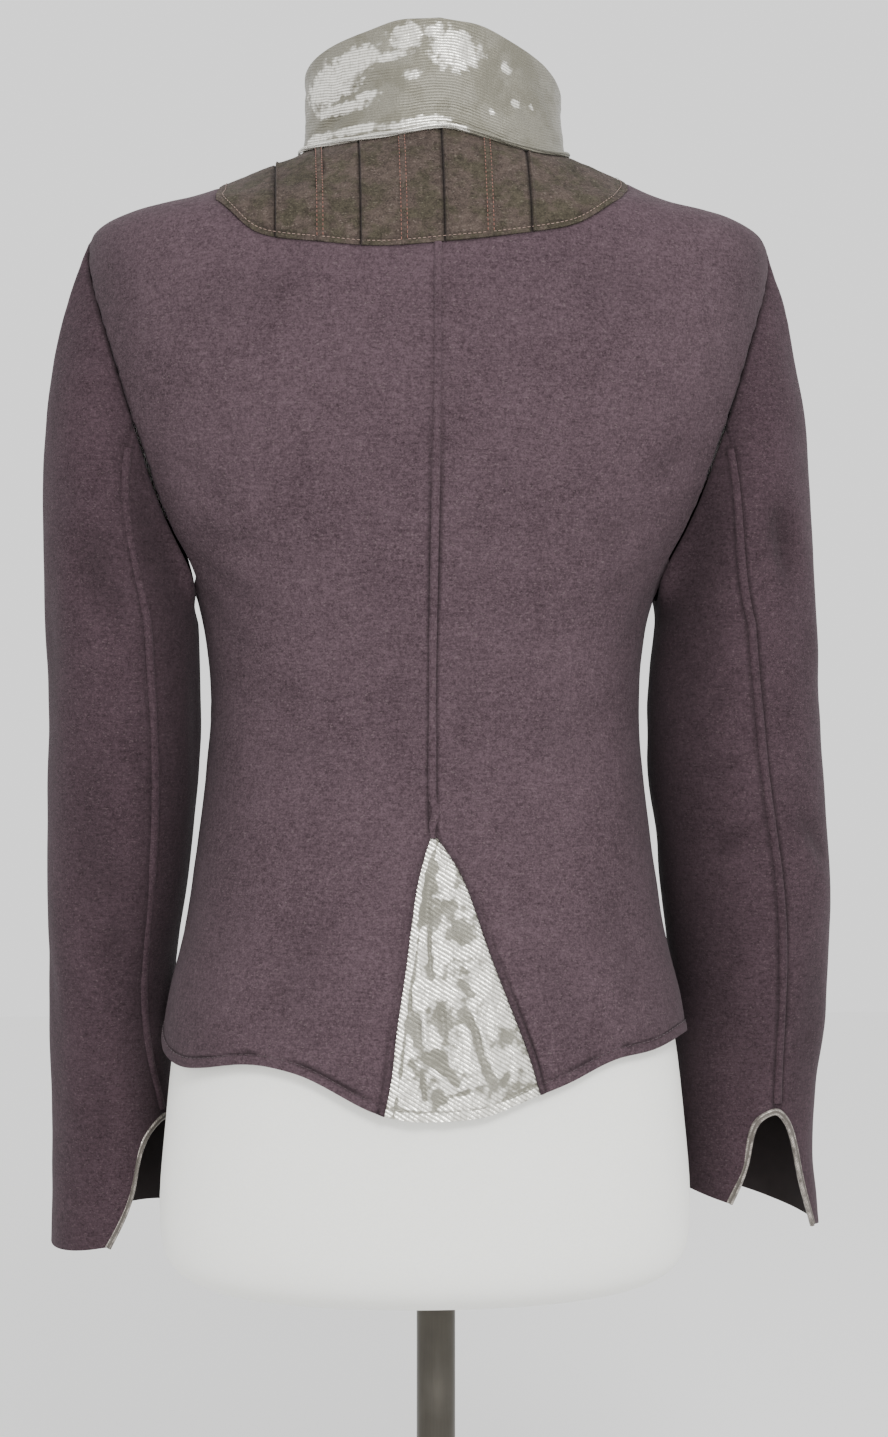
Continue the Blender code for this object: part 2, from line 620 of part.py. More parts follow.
def with_band(line, fraction):
    """An upward edge with a row added at the top of the hem band."""
    return np.vstack([line[:1], line[:1] * (1 - fraction) + line[1:2] * fraction, line[1:]])


def band_lift(grid):
    """The turned hem: the outside stands out on the two lowest rows."""
    raised = np.zeros(grid.shape[:2])
    raised[:2] = HEM_LIFT
    return raised, np.zeros_like(raised)


def godet_edge(side):
    """One slanting side of the godet's opening from the hem to its tip, as (angle, tape) rows."""
    rise = np.linspace(0, 1, GODET_ROWS + 1)
    column = "left" if side == LEFT else "right"
    angles = Spline([row.rise for row in GODET], [getattr(row, column) for row in GODET])(rise)
    foot, top = tape_at(hem_height(angles[0])), tape_at(GODET_TOP)
    return np.column_stack([angles, foot + (top - foot) * rise])


def shoulder_line(side):
    """The shoulder seam from the yoke out to the armhole, as (angle, tape) rows on the left."""
    start, stop = tape_at(YOKE_SPLINE(side * 90.0)), armhole(0.5)[1]
    return np.column_stack([np.full(SHOULDER_COLUMNS + 1, 90.0), np.linspace(start, stop, SHOULDER_COLUMNS + 1)])


def build_back(side, finish):
    slant = godet_edge(side) * (side, 1)
    low = slant[0][0]
    seam, climb = side_edge(side)
    arm = np.column_stack(armhole(climb))
    right = np.vstack([seam, arm])
    count = len(right) - len(slant)
    rise = np.linspace(slant[-1][1], tape_at(YOKE_SPLINE(0.0)), count + 1)[1:]
    left = np.vstack([slant, np.column_stack([np.zeros(count), rise])])
    arc = np.array(YOKE_ANGLES, float)
    top = np.vstack([edge(arc, YOKE_SPLINE(side * arc)), shoulder_line(side)[1:]])
    across = np.linspace(low, 90, len(top))
    bottom = edge(across, hem_height(side * across))
    fraction = HEM_BAND / (right[1][1] - right[0][1])
    grid = coons(bottom, top, with_band(left, fraction), with_band(right, fraction))
    place_on_side(f"back_{SIDE_NAMES[side]}", side, grid, WOOL_WALL, finish["wool"], band_lift(grid),
                  armhole_mitre(side, climb)[0])


def place_on_side(name, side, grid, thickness, finish, lift, mitre):
    """A panel worked out on the left of the body, turned to its side."""
    panel(name, grid * (side, 1), thickness, finish, lift, mitre)


def build_front(side, finish):
    """A front panel: the right one laps over the left one at the centre front."""
    seam, climb = side_edge(side)
    climb = 1 - climb
    arm = np.column_stack(armhole(climb))
    right = np.vstack([seam, arm])
    last = 180 + LAP_TURN
    neck = np.linspace(90, last, NECK_COLUMNS + 1)[1:]
    shoulder = shoulder_line(side)[::-1]
    neck_start = np.linspace(shoulder[-1][1], tape_at(neck_height(side * 90)), 3)[1:]
    top = np.vstack([shoulder, np.column_stack([np.full(2, 90.0), neck_start]),
                     edge(neck, neck_height(side * neck))])
    stretch = np.linspace(90, last, len(top))
    bottom = edge(stretch, hem_height(np.minimum(stretch, 180)))
    left = np.column_stack([np.full(len(right), last), np.linspace(bottom[-1][1], top[-1][1], len(right))])
    fraction = HEM_BAND / (right[1][1] - right[0][1])
    grid = coons(bottom, top, with_band(right, fraction), with_band(left, fraction))
    raised, sunk = band_lift(grid)
    if side == LEFT:
        across = -body_point(grid[..., 0], grid[..., 1])[..., 0]
        under = -LAP_DEPTH * smooth_step((across + LAP + LAP_STEP) / LAP_STEP)
        under = np.where(grid[..., 0] > LAP_FROM, under, 0)
        raised, sunk = np.where(under < -LAP_SHOWS, under, raised), under
    mitre = armhole_mitre(side, climb)[0]
    grid, raised, sunk = grid[:, ::-1], raised[:, ::-1], sunk[:, ::-1]
    place_on_side(f"front_{SIDE_NAMES[side]}", side, grid, WOOL_WALL, finish["wool"], (raised, sunk), mitre)


def build_godet(finish):
    """The godet; its sides end short of the opening's tip, on the same lines."""
    sides = []
    for side in (RIGHT, LEFT):
        line = godet_edge(side)
        line[-1] = line[-2] + (line[-1] - line[-2]) * GODET_FADE
        sides.append(line)
    right, left = sides
    share = np.linspace(0, 1, GODET_COLUMNS + 1)
    across = right[0][0] + (left[0][0] - right[0][0]) * share
    bottom = edge(across, hem_height(across))
    top = right[-1] + (left[-1] - right[-1]) * share[:, None]
    panel("godet", coons(bottom, top, right, left), LAME_WALL, finish["lame"])


def aside_and_height(angles, heights):
    """Points of the body as (X, height), for lines seen straight from the back."""
    return np.column_stack([body_point(angles, tape_at(heights))[..., 0], heights])


def yoke_columns(rim):
    """Distances of the yoke's columns from its middle, and which of them are crests of pin tucks."""
    edges = [tuck + move * TUCK_WIDTH / 2 for tuck in TUCKS for move in (-1, 1)]
    between = [(a + b) / 2 for a, b in zip(TUCKS, TUCKS[1:])]
    beyond = [spot for spot in rim if not min(edges) - TUCK_WIDTH < spot < max(edges) + TUCK_WIDTH]
    spots = np.array(sorted(TUCKS + edges + between + beyond))
    return spots, np.isin(spots, TUCKS)


def across_grid(spots, low, high):
    """Upright columns on the upper back between two heights, as an (angle, tape) grid."""
    fan = smooth_step((np.abs(spots) - FAN_START) / FAN_WIDTH)
    share = np.linspace(0, 1, YOKE_ROWS)[:, None]
    heights = low + (high - low) * (1 - (1 - share)**(1 + fan))
    sections = BODY_SPLINE(tape_at(heights))
    x = spots - LEAN_SPLINE(heights)
    inside = np.clip(1 - np.abs(x / sections[..., 1])**sections[..., 4], 0, 1)
    y = sections[..., 2] * inside**(1 / sections[..., 4])
    return np.stack([np.degrees(np.arctan2(x, y)), tape_at(heights)], axis=-1)


def build_yoke(finish):
    """The back yoke, its pin tucks raised in its outer points."""
    arc = np.array([angle for angle in YOKE_ANGLES if angle <= YOKE_CORNER], float)
    arc = np.concatenate([-arc[:0:-1], arc])
    low_line = aside_and_height(arc, YOKE_SPLINE(arc))
    ridges = [aside_and_height(np.full(NECK_COLUMNS, side * 90.0),
                               np.linspace(YOKE_SPLINE(side * 90.0), neck_height(side * 90.0), NECK_COLUMNS))
              for side in (RIGHT, LEFT)]
    neck = np.arange(-89.0, 90.0)
    high_line = np.vstack([ridges[0], aside_and_height(neck, neck_height(neck)), ridges[1][::-1]])
    spots, crest = yoke_columns(list(low_line[:, 0]) + [ridge[-1, 0] for ridge in ridges])
    low = np.interp(spots, low_line[:, 0], low_line[:, 1])
    grid = across_grid(spots, low, np.interp(spots, high_line[:, 0], high_line[:, 1]))
    for column, side in ((0, RIGHT), (-1, LEFT)):
        turn = side * np.array(YOKE_ANGLES[-YOKE_ROWS:], float)
        grid[:, column] = edge(turn, YOKE_SPLINE(turn))
    raised = np.zeros(grid.shape[:2])
    raised[:-1] = np.where(crest, TUCK_HEIGHT, 0)
    panel("back_yoke", grid, YOKE_WALL, finish["yoke"], lift=(raised, np.zeros_like(raised)))


def build_back_seam(finish):
    """The raised welt down the centre back, from the yoke to the godet."""
    tape = np.linspace(tape_at(YOKE_SPLINE(0.0)) - WELT_HEIGHT, tape_at(GODET_TOP) + WELT_HEIGHT, WELT_ROWS)
    path = body_point(0.0, tape)
    out = body_normal(0.0, tape)
    across = np.tile((1.0, 0.0, 0.0), (len(path), 1))
    bar("back_seam_welt", path + out * LAYER_GAP, across, out, WELT_WIDTH, WELT_HEIGHT, finish["wool"])


def collar_line(angle):
    """The neckline and the collar's upper edge at angles from -174 to 174."""
    side = np.where(angle < 0, -1, 1)
    size = np.abs(angle)
    low = body_point(angle, tape_at(neck_height(angle)))
    columns = [Spline([row.angle for row in rows], [(row.reach, row.height) for row in rows])(size)
               for rows in (COLLAR_LEFT, COLLAR_RIGHT)]
    reach, height = np.moveaxis(np.where(side[..., None] > 0, columns[0], columns[1]), -1, 0)
    turn = np.radians(angle)
    high = np.stack([reach * np.sin(turn) + COLLAR_SHIFT, reach * np.cos(turn), height], axis=-1)
    return low, high


def build_collar(finish):
    """The stand collar and the rolled fold along its seam."""
    angles = np.linspace(-COLLAR_END, COLLAR_END, COLLAR_COLUMNS)
    low, high = collar_line(angles)
    lifted = low + (0, 0, LAYER_GAP + COLLAR_LIFT)
    corner = 1 - smooth_step((COLLAR_END - np.abs(angles)) / COLLAR_CORNER)
    up = np.linspace(0, 1, COLLAR_ROWS)[:, None, None] * (1 - COLLAR_CORNER_DROP * corner)[None, :, None]
    outer = lifted[None] * (1 - up) + high[None] * up
    normals = unit(np.cross(np.gradient(outer, axis=0), np.gradient(outer, axis=1)))
    normals[0] = unit(normals[0] * (1, 1, 0))
    wall("collar", outer, outer - normals * COLLAR_WALL, finish["lame"])
    angles = np.linspace(-ROLL_END, ROLL_END, ROLL_COLUMNS)
    low, high = collar_line(angles)
    stand = unit(np.cross(high - low, np.gradient(low, axis=0)))
    slope = body_normal(angles, tape_at(neck_height(angles)))
    clear = COLLAR_ROLL_RADIUS + 4 * LAYER_GAP
    together = np.sum(stand * slope, axis=-1, keepdims=True)
    path = low + clear * (stand + slope) / (1 + together)
    along = unit(np.gradient(path, axis=0))
    up = unit(np.cross(along, stand))
    bar("collar_roll", path, stand, up, 2 * COLLAR_ROLL_RADIUS, 2 * COLLAR_ROLL_RADIUS, finish["lame"], sides=8)


def build_buttons(finish):
    """Plain flat buttons on the right front, at the centre front."""
    for number, height in enumerate(BUTTON_HEIGHTS, 1):
        tape = tape_at(height)
        middle, out = body_point(180.0, tape), body_normal(180.0, tape)
        across = np.array([1.0, 0, 0])
        up = np.cross(out, across)
        rings = []
        profile = [(BUTTON_RADIUS - BUTTON_ROUND, 0), (BUTTON_RADIUS, BUTTON_ROUND),
                   (BUTTON_RADIUS, BUTTON_THICK - BUTTON_ROUND), (BUTTON_RADIUS - BUTTON_ROUND, BUTTON_THICK)]
        for radius, rise in profile:
            turns = np.arange(BUTTON_SIDES) * 2 * math.pi / BUTTON_SIDES
            ring = middle + out * (rise + BUTTON_LIFT)
            rings.append(ring + radius * (np.cos(turns)[:, None] * across + np.sin(turns)[:, None] * up))
        stack_rings(f"button_{number}", np.array(rings), finish["button"])


def stack_rings(name, rings, finish):
    """A solid through closed rings of points, with flat caps."""
    rows, columns = rings.shape[:2]
    faces = grid_faces(rows, columns, closed=True)
    faces.append(tuple(range(columns))[::-1])
    faces.append(tuple((rows - 1) * columns + i for i in range(columns)))
    return add_object(name, rings.reshape(-1, 3), faces, finish)


def build_form(finish):
    """The dress form: one smooth body from its rounded foot to the cap of its neck, clear of the cloth."""
    angles = np.arange(FORM_SIDES) * 360 / FORM_SIDES
    rings = [ring_point(angles, np.tile(np.array(row), (FORM_SIDES, 1))) for row in FORM_FOOT]
    for height in FORM_BODY_HEIGHTS:
        tape = tape_at(height)
        low, high = SHOULDER_REST
        rest = smooth_step((height - low) / (high - low))
        inset = WOOL_WALL + FORM_EASE + (SHOULDER_EASE - FORM_EASE) * rest
        rings.append(body_point(angles, tape) - body_normal(angles, tape) * inset)
    rings += [ring_point(angles, np.tile(np.array(row), (FORM_SIDES, 1))) for row in FORM_NECK]
    stack_rings("dress_form", np.array(rings), finish["form"])


def build_stand(finish):
    """A steel pole on a round base."""
    turns = np.arange(STAND_SIDES) * 2 * math.pi / STAND_SIDES
    circle = np.column_stack([np.cos(turns), np.sin(turns), np.zeros(STAND_SIDES)])
    profile = [(BASE_RADIUS - BASE_CHAMFER, 0), (BASE_RADIUS, BASE_CHAMFER),
               (BASE_RADIUS, BASE_THICK - BASE_CHAMFER), (BASE_RADIUS - BASE_CHAMFER, BASE_THICK)]
    rings = [circle * radius + (POLE_X, 0, height) for radius, height in profile]
    stack_rings("stand_base", np.array(rings), finish["steel"])
    ends = (BASE_THICK + LAYER_GAP, FORM_UNDERSIDE - LAYER_GAP)
    rings = [circle[::2] * POLE_RADIUS + (POLE_X, 0, height) for height in ends]
    stack_rings("stand_pole", np.array(rings), finish["steel"])


def main():
    clear_scene()
    finish = {
        "wool": material("plum_wool", (0.125, 0.085, 0.107), 0.95),
        "yoke": material("speckled_wool", (0.115, 0.092, 0.080), 0.95),
        "lame": material("silver_lame", (0.58, 0.56, 0.51), 0.35, 0.6),
        "button": material("button_resin", (0.06, 0.045, 0.05), 0.4),
        "form": material("form_cover", (0.90, 0.90, 0.84), 0.9),
        "steel": material("stand_steel", (0.35, 0.34, 0.31), 0.3, 1.0),
    }
    build_form(finish)
    build_stand(finish)
    for side in (LEFT, RIGHT):
        build_back(side, finish)
        build_front(side, finish)
        build_sleeve(side, finish)
    build_back_seam(finish)
    build_yoke(finish)
    build_godet(finish)
    build_collar(finish)
    build_buttons(finish)


main()
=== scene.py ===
"""Looks of a fitted felted-wool blazer filled out on a limbless dress form.

The panels are thin shells laid on the same smooth surfaces as the solids they stand for. A place on the body
is an angle round it (0 at the centre back, positive to the wearer's left) and a tape distance up it. Creases
are given one by one."""

import json
import math
from collections import namedtuple

import bmesh
import bpy
import numpy as np
from mathutils import Vector
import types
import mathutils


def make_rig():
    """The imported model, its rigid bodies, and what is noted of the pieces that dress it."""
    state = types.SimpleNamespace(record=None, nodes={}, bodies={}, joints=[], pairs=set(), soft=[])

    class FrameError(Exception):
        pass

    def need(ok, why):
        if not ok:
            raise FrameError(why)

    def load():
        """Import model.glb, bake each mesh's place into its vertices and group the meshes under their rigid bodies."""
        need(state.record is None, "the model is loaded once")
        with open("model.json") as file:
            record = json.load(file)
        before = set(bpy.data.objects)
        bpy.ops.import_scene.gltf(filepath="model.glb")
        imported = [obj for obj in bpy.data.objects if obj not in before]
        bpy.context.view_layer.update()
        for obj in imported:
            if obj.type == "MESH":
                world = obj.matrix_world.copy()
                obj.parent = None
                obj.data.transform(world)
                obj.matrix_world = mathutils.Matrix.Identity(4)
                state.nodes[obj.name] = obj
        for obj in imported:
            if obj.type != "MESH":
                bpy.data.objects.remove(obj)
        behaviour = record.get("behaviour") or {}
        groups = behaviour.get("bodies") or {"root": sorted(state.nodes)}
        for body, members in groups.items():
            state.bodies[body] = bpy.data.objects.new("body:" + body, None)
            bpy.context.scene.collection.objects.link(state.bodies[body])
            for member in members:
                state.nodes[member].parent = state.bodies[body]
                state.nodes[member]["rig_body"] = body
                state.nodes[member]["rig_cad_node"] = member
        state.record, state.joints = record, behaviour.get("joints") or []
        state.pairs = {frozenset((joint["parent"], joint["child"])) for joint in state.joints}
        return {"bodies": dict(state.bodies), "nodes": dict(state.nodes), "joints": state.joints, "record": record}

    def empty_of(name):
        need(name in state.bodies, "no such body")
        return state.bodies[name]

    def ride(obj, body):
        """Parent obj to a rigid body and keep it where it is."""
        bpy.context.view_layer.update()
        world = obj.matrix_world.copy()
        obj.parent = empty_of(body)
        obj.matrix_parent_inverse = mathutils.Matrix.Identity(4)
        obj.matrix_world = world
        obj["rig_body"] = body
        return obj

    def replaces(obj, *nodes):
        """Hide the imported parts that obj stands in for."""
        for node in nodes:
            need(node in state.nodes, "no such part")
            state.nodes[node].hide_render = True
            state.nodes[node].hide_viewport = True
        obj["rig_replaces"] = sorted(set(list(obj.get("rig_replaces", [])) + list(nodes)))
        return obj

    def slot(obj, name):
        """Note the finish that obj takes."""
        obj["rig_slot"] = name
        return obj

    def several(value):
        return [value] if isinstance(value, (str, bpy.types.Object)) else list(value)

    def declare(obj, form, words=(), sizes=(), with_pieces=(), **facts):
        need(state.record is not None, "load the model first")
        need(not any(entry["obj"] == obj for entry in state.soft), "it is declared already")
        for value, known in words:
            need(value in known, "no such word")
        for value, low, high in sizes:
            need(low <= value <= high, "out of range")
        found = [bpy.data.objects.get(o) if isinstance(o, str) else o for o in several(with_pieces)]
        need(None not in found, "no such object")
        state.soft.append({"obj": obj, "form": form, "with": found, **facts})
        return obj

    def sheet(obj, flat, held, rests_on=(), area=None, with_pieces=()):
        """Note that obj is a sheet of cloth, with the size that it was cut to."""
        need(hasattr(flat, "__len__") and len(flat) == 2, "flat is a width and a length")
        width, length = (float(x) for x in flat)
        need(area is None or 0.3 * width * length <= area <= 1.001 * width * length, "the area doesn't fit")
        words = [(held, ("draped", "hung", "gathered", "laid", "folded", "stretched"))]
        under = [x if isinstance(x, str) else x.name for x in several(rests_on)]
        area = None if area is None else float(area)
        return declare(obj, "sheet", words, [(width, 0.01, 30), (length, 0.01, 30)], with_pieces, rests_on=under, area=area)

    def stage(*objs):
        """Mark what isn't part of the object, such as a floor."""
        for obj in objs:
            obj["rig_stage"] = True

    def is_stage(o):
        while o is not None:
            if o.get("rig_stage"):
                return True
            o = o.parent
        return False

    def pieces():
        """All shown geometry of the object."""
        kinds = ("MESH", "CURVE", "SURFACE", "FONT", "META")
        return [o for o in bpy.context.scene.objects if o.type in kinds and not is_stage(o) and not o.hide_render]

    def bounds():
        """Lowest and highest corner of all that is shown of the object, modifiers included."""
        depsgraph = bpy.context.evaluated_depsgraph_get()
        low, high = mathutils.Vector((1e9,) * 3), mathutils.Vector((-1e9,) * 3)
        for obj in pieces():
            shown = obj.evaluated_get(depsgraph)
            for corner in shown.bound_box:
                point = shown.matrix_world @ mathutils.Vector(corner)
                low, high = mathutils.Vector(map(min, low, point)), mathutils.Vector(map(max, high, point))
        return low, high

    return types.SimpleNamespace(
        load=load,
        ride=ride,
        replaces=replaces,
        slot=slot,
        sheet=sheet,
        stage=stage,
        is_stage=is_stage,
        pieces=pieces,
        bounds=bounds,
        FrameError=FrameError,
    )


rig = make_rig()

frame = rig.load()
CAD_BOX = [list(corner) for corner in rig.bounds()]

MM = 0.001
LEFT, RIGHT = 1, -1
SIDE_NAMES = {LEFT: "left", RIGHT: "right"}

# Cloth
SEAM_LAP = 0.40 * MM
WOOL_WALL = 2.0 * MM
YOKE_WALL = 2.0 * MM
LAME_WALL = 1.4 * MM
COLLAR_WALL = 2.0 * MM
LAYER_GAP = 0.3 * MM
HEM_BAND = 5.5 * MM
HEM_LIFT = 0.7 * MM
WELT_WIDTH = 4.0 * MM
WELT_HEIGHT = 1.3 * MM
TUCK_WIDTH = 3.2 * MM

# Front closure
LAP = 13 * MM
LAP_STEP = 18 * MM
LAP_DEPTH = 3.2 * MM
LAP_TURN = 7.4
BUTTON_RADIUS = 10.5 * MM
BUTTON_THICK = 3.4 * MM
BUTTON_LIFT = 0.6 * MM
BUTTON_HEIGHTS = (0.915, 0.835, 0.755, 0.675, 0.595)

# Stand
POLE_X = -6.5 * MM
POLE_RADIUS = 12 * MM
BASE_RADIUS = 150 * MM
BASE_THICK = 12 * MM
BASE_CHAMFER = 3 * MM
FORM_UNDERSIDE = 0.2880
FORM_EASE = 5.2 * MM
SHOULDER_EASE = 1.6 * MM
SHOULDER_REST = (0.957, 0.972)

# The garment's outside, from below the hem to above the neck
Section = namedtuple("Section", "height half_width back front roundness")
BODY = [Section(*row) for row in (
    (0.375, 0.1655, 0.1200, 0.1150, 2.20), (0.430, 0.1640, 0.1170, 0.1120, 2.22),
    (0.468, 0.1590, 0.1130, 0.1090, 2.25), (0.505, 0.1500, 0.1070, 0.1060, 2.22),
    (0.543, 0.1435, 0.1010, 0.1030, 2.20), (0.580, 0.1385, 0.0960, 0.0990, 2.16),
    (0.617, 0.1345, 0.0920, 0.0955, 2.12), (0.654, 0.1330, 0.0905, 0.0955, 2.12),
    (0.691, 0.1350, 0.0930, 0.1020, 2.14), (0.716, 0.1410, 0.0970, 0.1100, 2.16),
    (0.745, 0.1560, 0.1015, 0.1200, 2.16), (0.778, 0.1760, 0.1060, 0.1275, 2.14),
    (0.810, 0.1900, 0.1100, 0.1300, 2.12), (0.840, 0.2000, 0.1130, 0.1240, 2.10),
    (0.870, 0.2060, 0.1140, 0.1120, 2.10), (0.900, 0.2100, 0.1110, 0.0985, 2.08),
    (0.922, 0.2110, 0.1065, 0.0880, 2.06), (0.938, 0.2080, 0.1015, 0.0790, 2.04),
    (0.949, 0.1940, 0.0965, 0.0720, 2.02), (0.959, 0.1570, 0.0905, 0.0650, 2.00),
    (0.970, 0.1270, 0.0840, 0.0590, 2.00), (0.981, 0.1010, 0.0770, 0.0550, 2.00),
    (0.991, 0.0800, 0.0690, 0.0520, 2.00), (1.006, 0.0700, 0.0600, 0.0500, 2.00),
)]

# How far the body leans aside at a height
Lean = namedtuple("Lean", "height aside")
LEAN = [Lean(0.37, 0.0), Lean(0.70, 0.0), Lean(0.80, -1.0 * MM), Lean(0.92, -2.2 * MM), Lean(1.01, -4.5 * MM)]

# The armhole, from the armpit up the back to the shoulder and down the front; place runs 0 to 1 round it
Armhole = namedtuple("Armhole", "place angle height")
ARMHOLE = [Armhole(*row) for row in (
    (0.000, 90.0, 0.7160), (0.050, 80.5, 0.7225), (0.100, 78.0, 0.7440), (0.180, 76.0, 0.7840),
    (0.280, 76.2, 0.8350), (0.345, 78.5, 0.8690), (0.405, 82.5, 0.8990), (0.458, 86.5, 0.9240),
    (0.500, 90.0, 0.9400), (0.545, 99.0, 0.9250), (0.610, 105.5, 0.8920), (0.690, 109.5, 0.8500),
    (0.790, 110.0, 0.7980), (0.880, 107.5, 0.7540), (0.950, 99.5, 0.7240), (1.000, 90.0, 0.7160),
)]
ARMHOLE_STEPS = 28
MITRE_LIMIT, MITRE_TURN = 0.6, 0.2
BACK_SEAM_STEP, FRONT_SEAM_STEP = 7, 21

# Each sleeve from the level of the armpit (down 0) to the cuff (down 1): middle, half sizes, and the places
# of its two seams round it
SleeveRing = namedtuple("SleeveRing", "down middle_x middle_y half_x half_y back_seam front_seam")
SLEEVES = {
    LEFT: [
        SleeveRing(0.00, 0.1875, -0.0060, 0.0470, 0.0580, 113, -80),
        SleeveRing(0.14, 0.1865, -0.0130, 0.0475, 0.0560, 115, -78),
        SleeveRing(0.28, 0.1880, -0.0200, 0.0465, 0.0535, 119, -74),
        SleeveRing(0.42, 0.1910, -0.0310, 0.0440, 0.0520, 121, -70),
        SleeveRing(0.56, 0.1955, -0.0430, 0.0400, 0.0510, 124, -66),
        SleeveRing(0.70, 0.1965, -0.0560, 0.0390, 0.0500, 131, -60),
        SleeveRing(0.84, 0.1945, -0.0650, 0.0405, 0.0470, 146, -48),
        SleeveRing(1.00, 0.1930, -0.0680, 0.0430, 0.0450, 153, -42),
    ],
    RIGHT: [
        SleeveRing(0.00, 0.1935, -0.0030, 0.0500, 0.0580, 88, -90),
        SleeveRing(0.14, 0.1930, -0.0070, 0.0540, 0.0565, 82, -92),
        SleeveRing(0.28, 0.1965, -0.0110, 0.0545, 0.0550, 79, -94),
        SleeveRing(0.42, 0.2015, -0.0170, 0.0540, 0.0530, 75, -96),
        SleeveRing(0.56, 0.2055, -0.0280, 0.0512, 0.0505, 73, -97),
        SleeveRing(0.70, 0.2060, -0.0380, 0.0480, 0.0480, 72, -97),
        SleeveRing(0.84, 0.2045, -0.0430, 0.0450, 0.0455, 69, -96),
        SleeveRing(1.00, 0.2075, -0.0450, 0.0465, 0.0440, 66, -95),
    ],
}
SLEEVE_TOP = 0.700
Cuff = namedtuple("Cuff", "height outer_drop back_drop")
CUFFS = {LEFT: Cuff(0.3200, 0.0095, 0.0060), RIGHT: Cuff(0.3365, 0.0140, 0.0020)}
CAP_OUT = {LEFT: 0.42, RIGHT: 0.33}
CAP_DEPTHWISE, CAP_DOWN = 0.30, 0.88
PIT_GAP, PIT_SPREAD = 1.4 * MM, 0.16

# The arched vent at the back seam of each cuff, as the cloth's edge; its binding lies inside it
VENT_TOP = 1.815
VENT_SPREAD = {LEFT: 1.9, RIGHT: 1.0}
Vent = namedtuple("Vent", "down outer inner")
VENT = [
    Vent(0.00, 0.0 * MM, 0.0 * MM),
    Vent(0.03, 5.0 * MM, 6.0 * MM),
    Vent(0.09, 9.0 * MM, 11.5 * MM),
    Vent(0.20, 13.0 * MM, 17.0 * MM),
    Vent(0.38, 16.5 * MM, 21.0 * MM),
    Vent(0.60, 19.5 * MM, 25.0 * MM),
    Vent(0.80, 23.5 * MM, 30.5 * MM),
    Vent(1.00, 28.5 * MM, 37.0 * MM),
]
BINDING_WIDTH = 4.4 * MM
BINDING_THICK = 3.6 * MM
BINDING_WRAP = 1.1 * MM

# Hem, yoke and godet edges
Edge = namedtuple("Edge", "angle height")
HEM = [Edge(*row) for row in (
    (-150, 0.4280), (-120, 0.4430), (-90, 0.4500), (-73, 0.4510), (-59, 0.4445), (-50, 0.4420),
    (-37, 0.4300), (-25, 0.4203), (-17, 0.4133), (-6, 0.4097), (6, 0.4094), (14, 0.4121), (24, 0.4217),
    (36, 0.4348), (42, 0.4384), (48, 0.4402), (60, 0.4369), (68, 0.4350), (77, 0.4390), (90, 0.4490),
    (120, 0.4430), (150, 0.4280),
)]
HEM_FRONT = 0.4150
YOKE = [Edge(*row) for row in (
    (-90, 0.9750), (-81, 0.9735), (-72, 0.9690), (-64, 0.9618), (-50, 0.9474), (-42, 0.9370), (-33, 0.9313),
    (-15, 0.9256), (-1, 0.9228), (12, 0.9203), (24, 0.9203), (35, 0.9231), (45, 0.9262), (50, 0.9306),
    (56, 0.9425), (61, 0.9505), (73, 0.9630), (80, 0.9670), (90, 0.9695),
)]
NECK = [Edge(*row) for row in (
    (-180, 0.9560), (-150, 0.9660), (-120, 0.9800), (-90, 0.9895), (-65, 0.9850), (-45, 0.9835),
    (-32, 0.9880), (-18, 0.9935), (-5, 0.9967), (5, 0.9960), (16, 0.9930), (35, 0.9900), (54, 0.9885),
    (75, 0.9895), (90, 0.9910), (120, 0.9820), (150, 0.9660), (180, 0.9560),
)]

# The godet's sides: rise is 0 at the hem and 1 at its tip, then an angle for each side
GODET_TOP = 0.5770
GODET_FADE = 0.80
Godet = namedtuple("Godet", "rise left right")
GODET = [Godet(*row) for row in (
    (0.00, 14.2, -29.2), (0.12, 12.4, -27.2), (0.29, 11.0, -23.4), (0.48, 8.9, -18.9), (0.67, 7.0, -14.4),
    (0.86, 4.1, -8.4), (1.00, 0.0, 0.0),
)]

# Pin tucks down the yoke, as distances from its middle (positive to the wearer's left)
TUCKS = [spot * MM for spot in (92, 66.5, 42, 17.5, -7.2, -33.2, -58.7)]
YOKE_ANGLES = (0, 12, 24, 36, 46, 54, 62, 67, 72, 78, 84, 90)
YOKE_CORNER = 62
YOKE_ROWS = 6
FAN_START, FAN_WIDTH = 60 * MM, 30 * MM

# How finely the panels are cut
SIDE_ROWS = 9
SHOULDER_COLUMNS = 3
NECK_COLUMNS = 6
GODET_ROWS, GODET_COLUMNS = 7, 6

# The collar's upper edge, round from the centre back
CollarTop = namedtuple("CollarTop", "angle reach height")
COLLAR_LEFT = [CollarTop(*row) for row in (
    (0, 0.0700, 1.0610), (45, 0.0745, 1.0525), (90, 0.0800, 1.0365), (135, 0.0680, 1.0130),
    (174, 0.0600, 0.9900),
)]
COLLAR_RIGHT = [CollarTop(*row) for row in (
    (0, 0.0700, 1.0610), (45, 0.0745, 1.0460), (90, 0.0790, 1.0240), (135, 0.0680, 1.0060),
    (174, 0.0600, 0.9870),
)]
COLLAR_SHIFT = -5.0 * MM
COLLAR_ROLL_RADIUS = 1.9 * MM
COLLAR_END, ROLL_END = 173, 165
COLLAR_LIFT = 0.15 * MM
COLLAR_BROAD, COLLAR_BROAD_AT, COLLAR_BROAD_SPREAD = 2.2 * MM, 20, 12
COLLAR_CORNER, COLLAR_CORNER_DROP = 14, 0.18

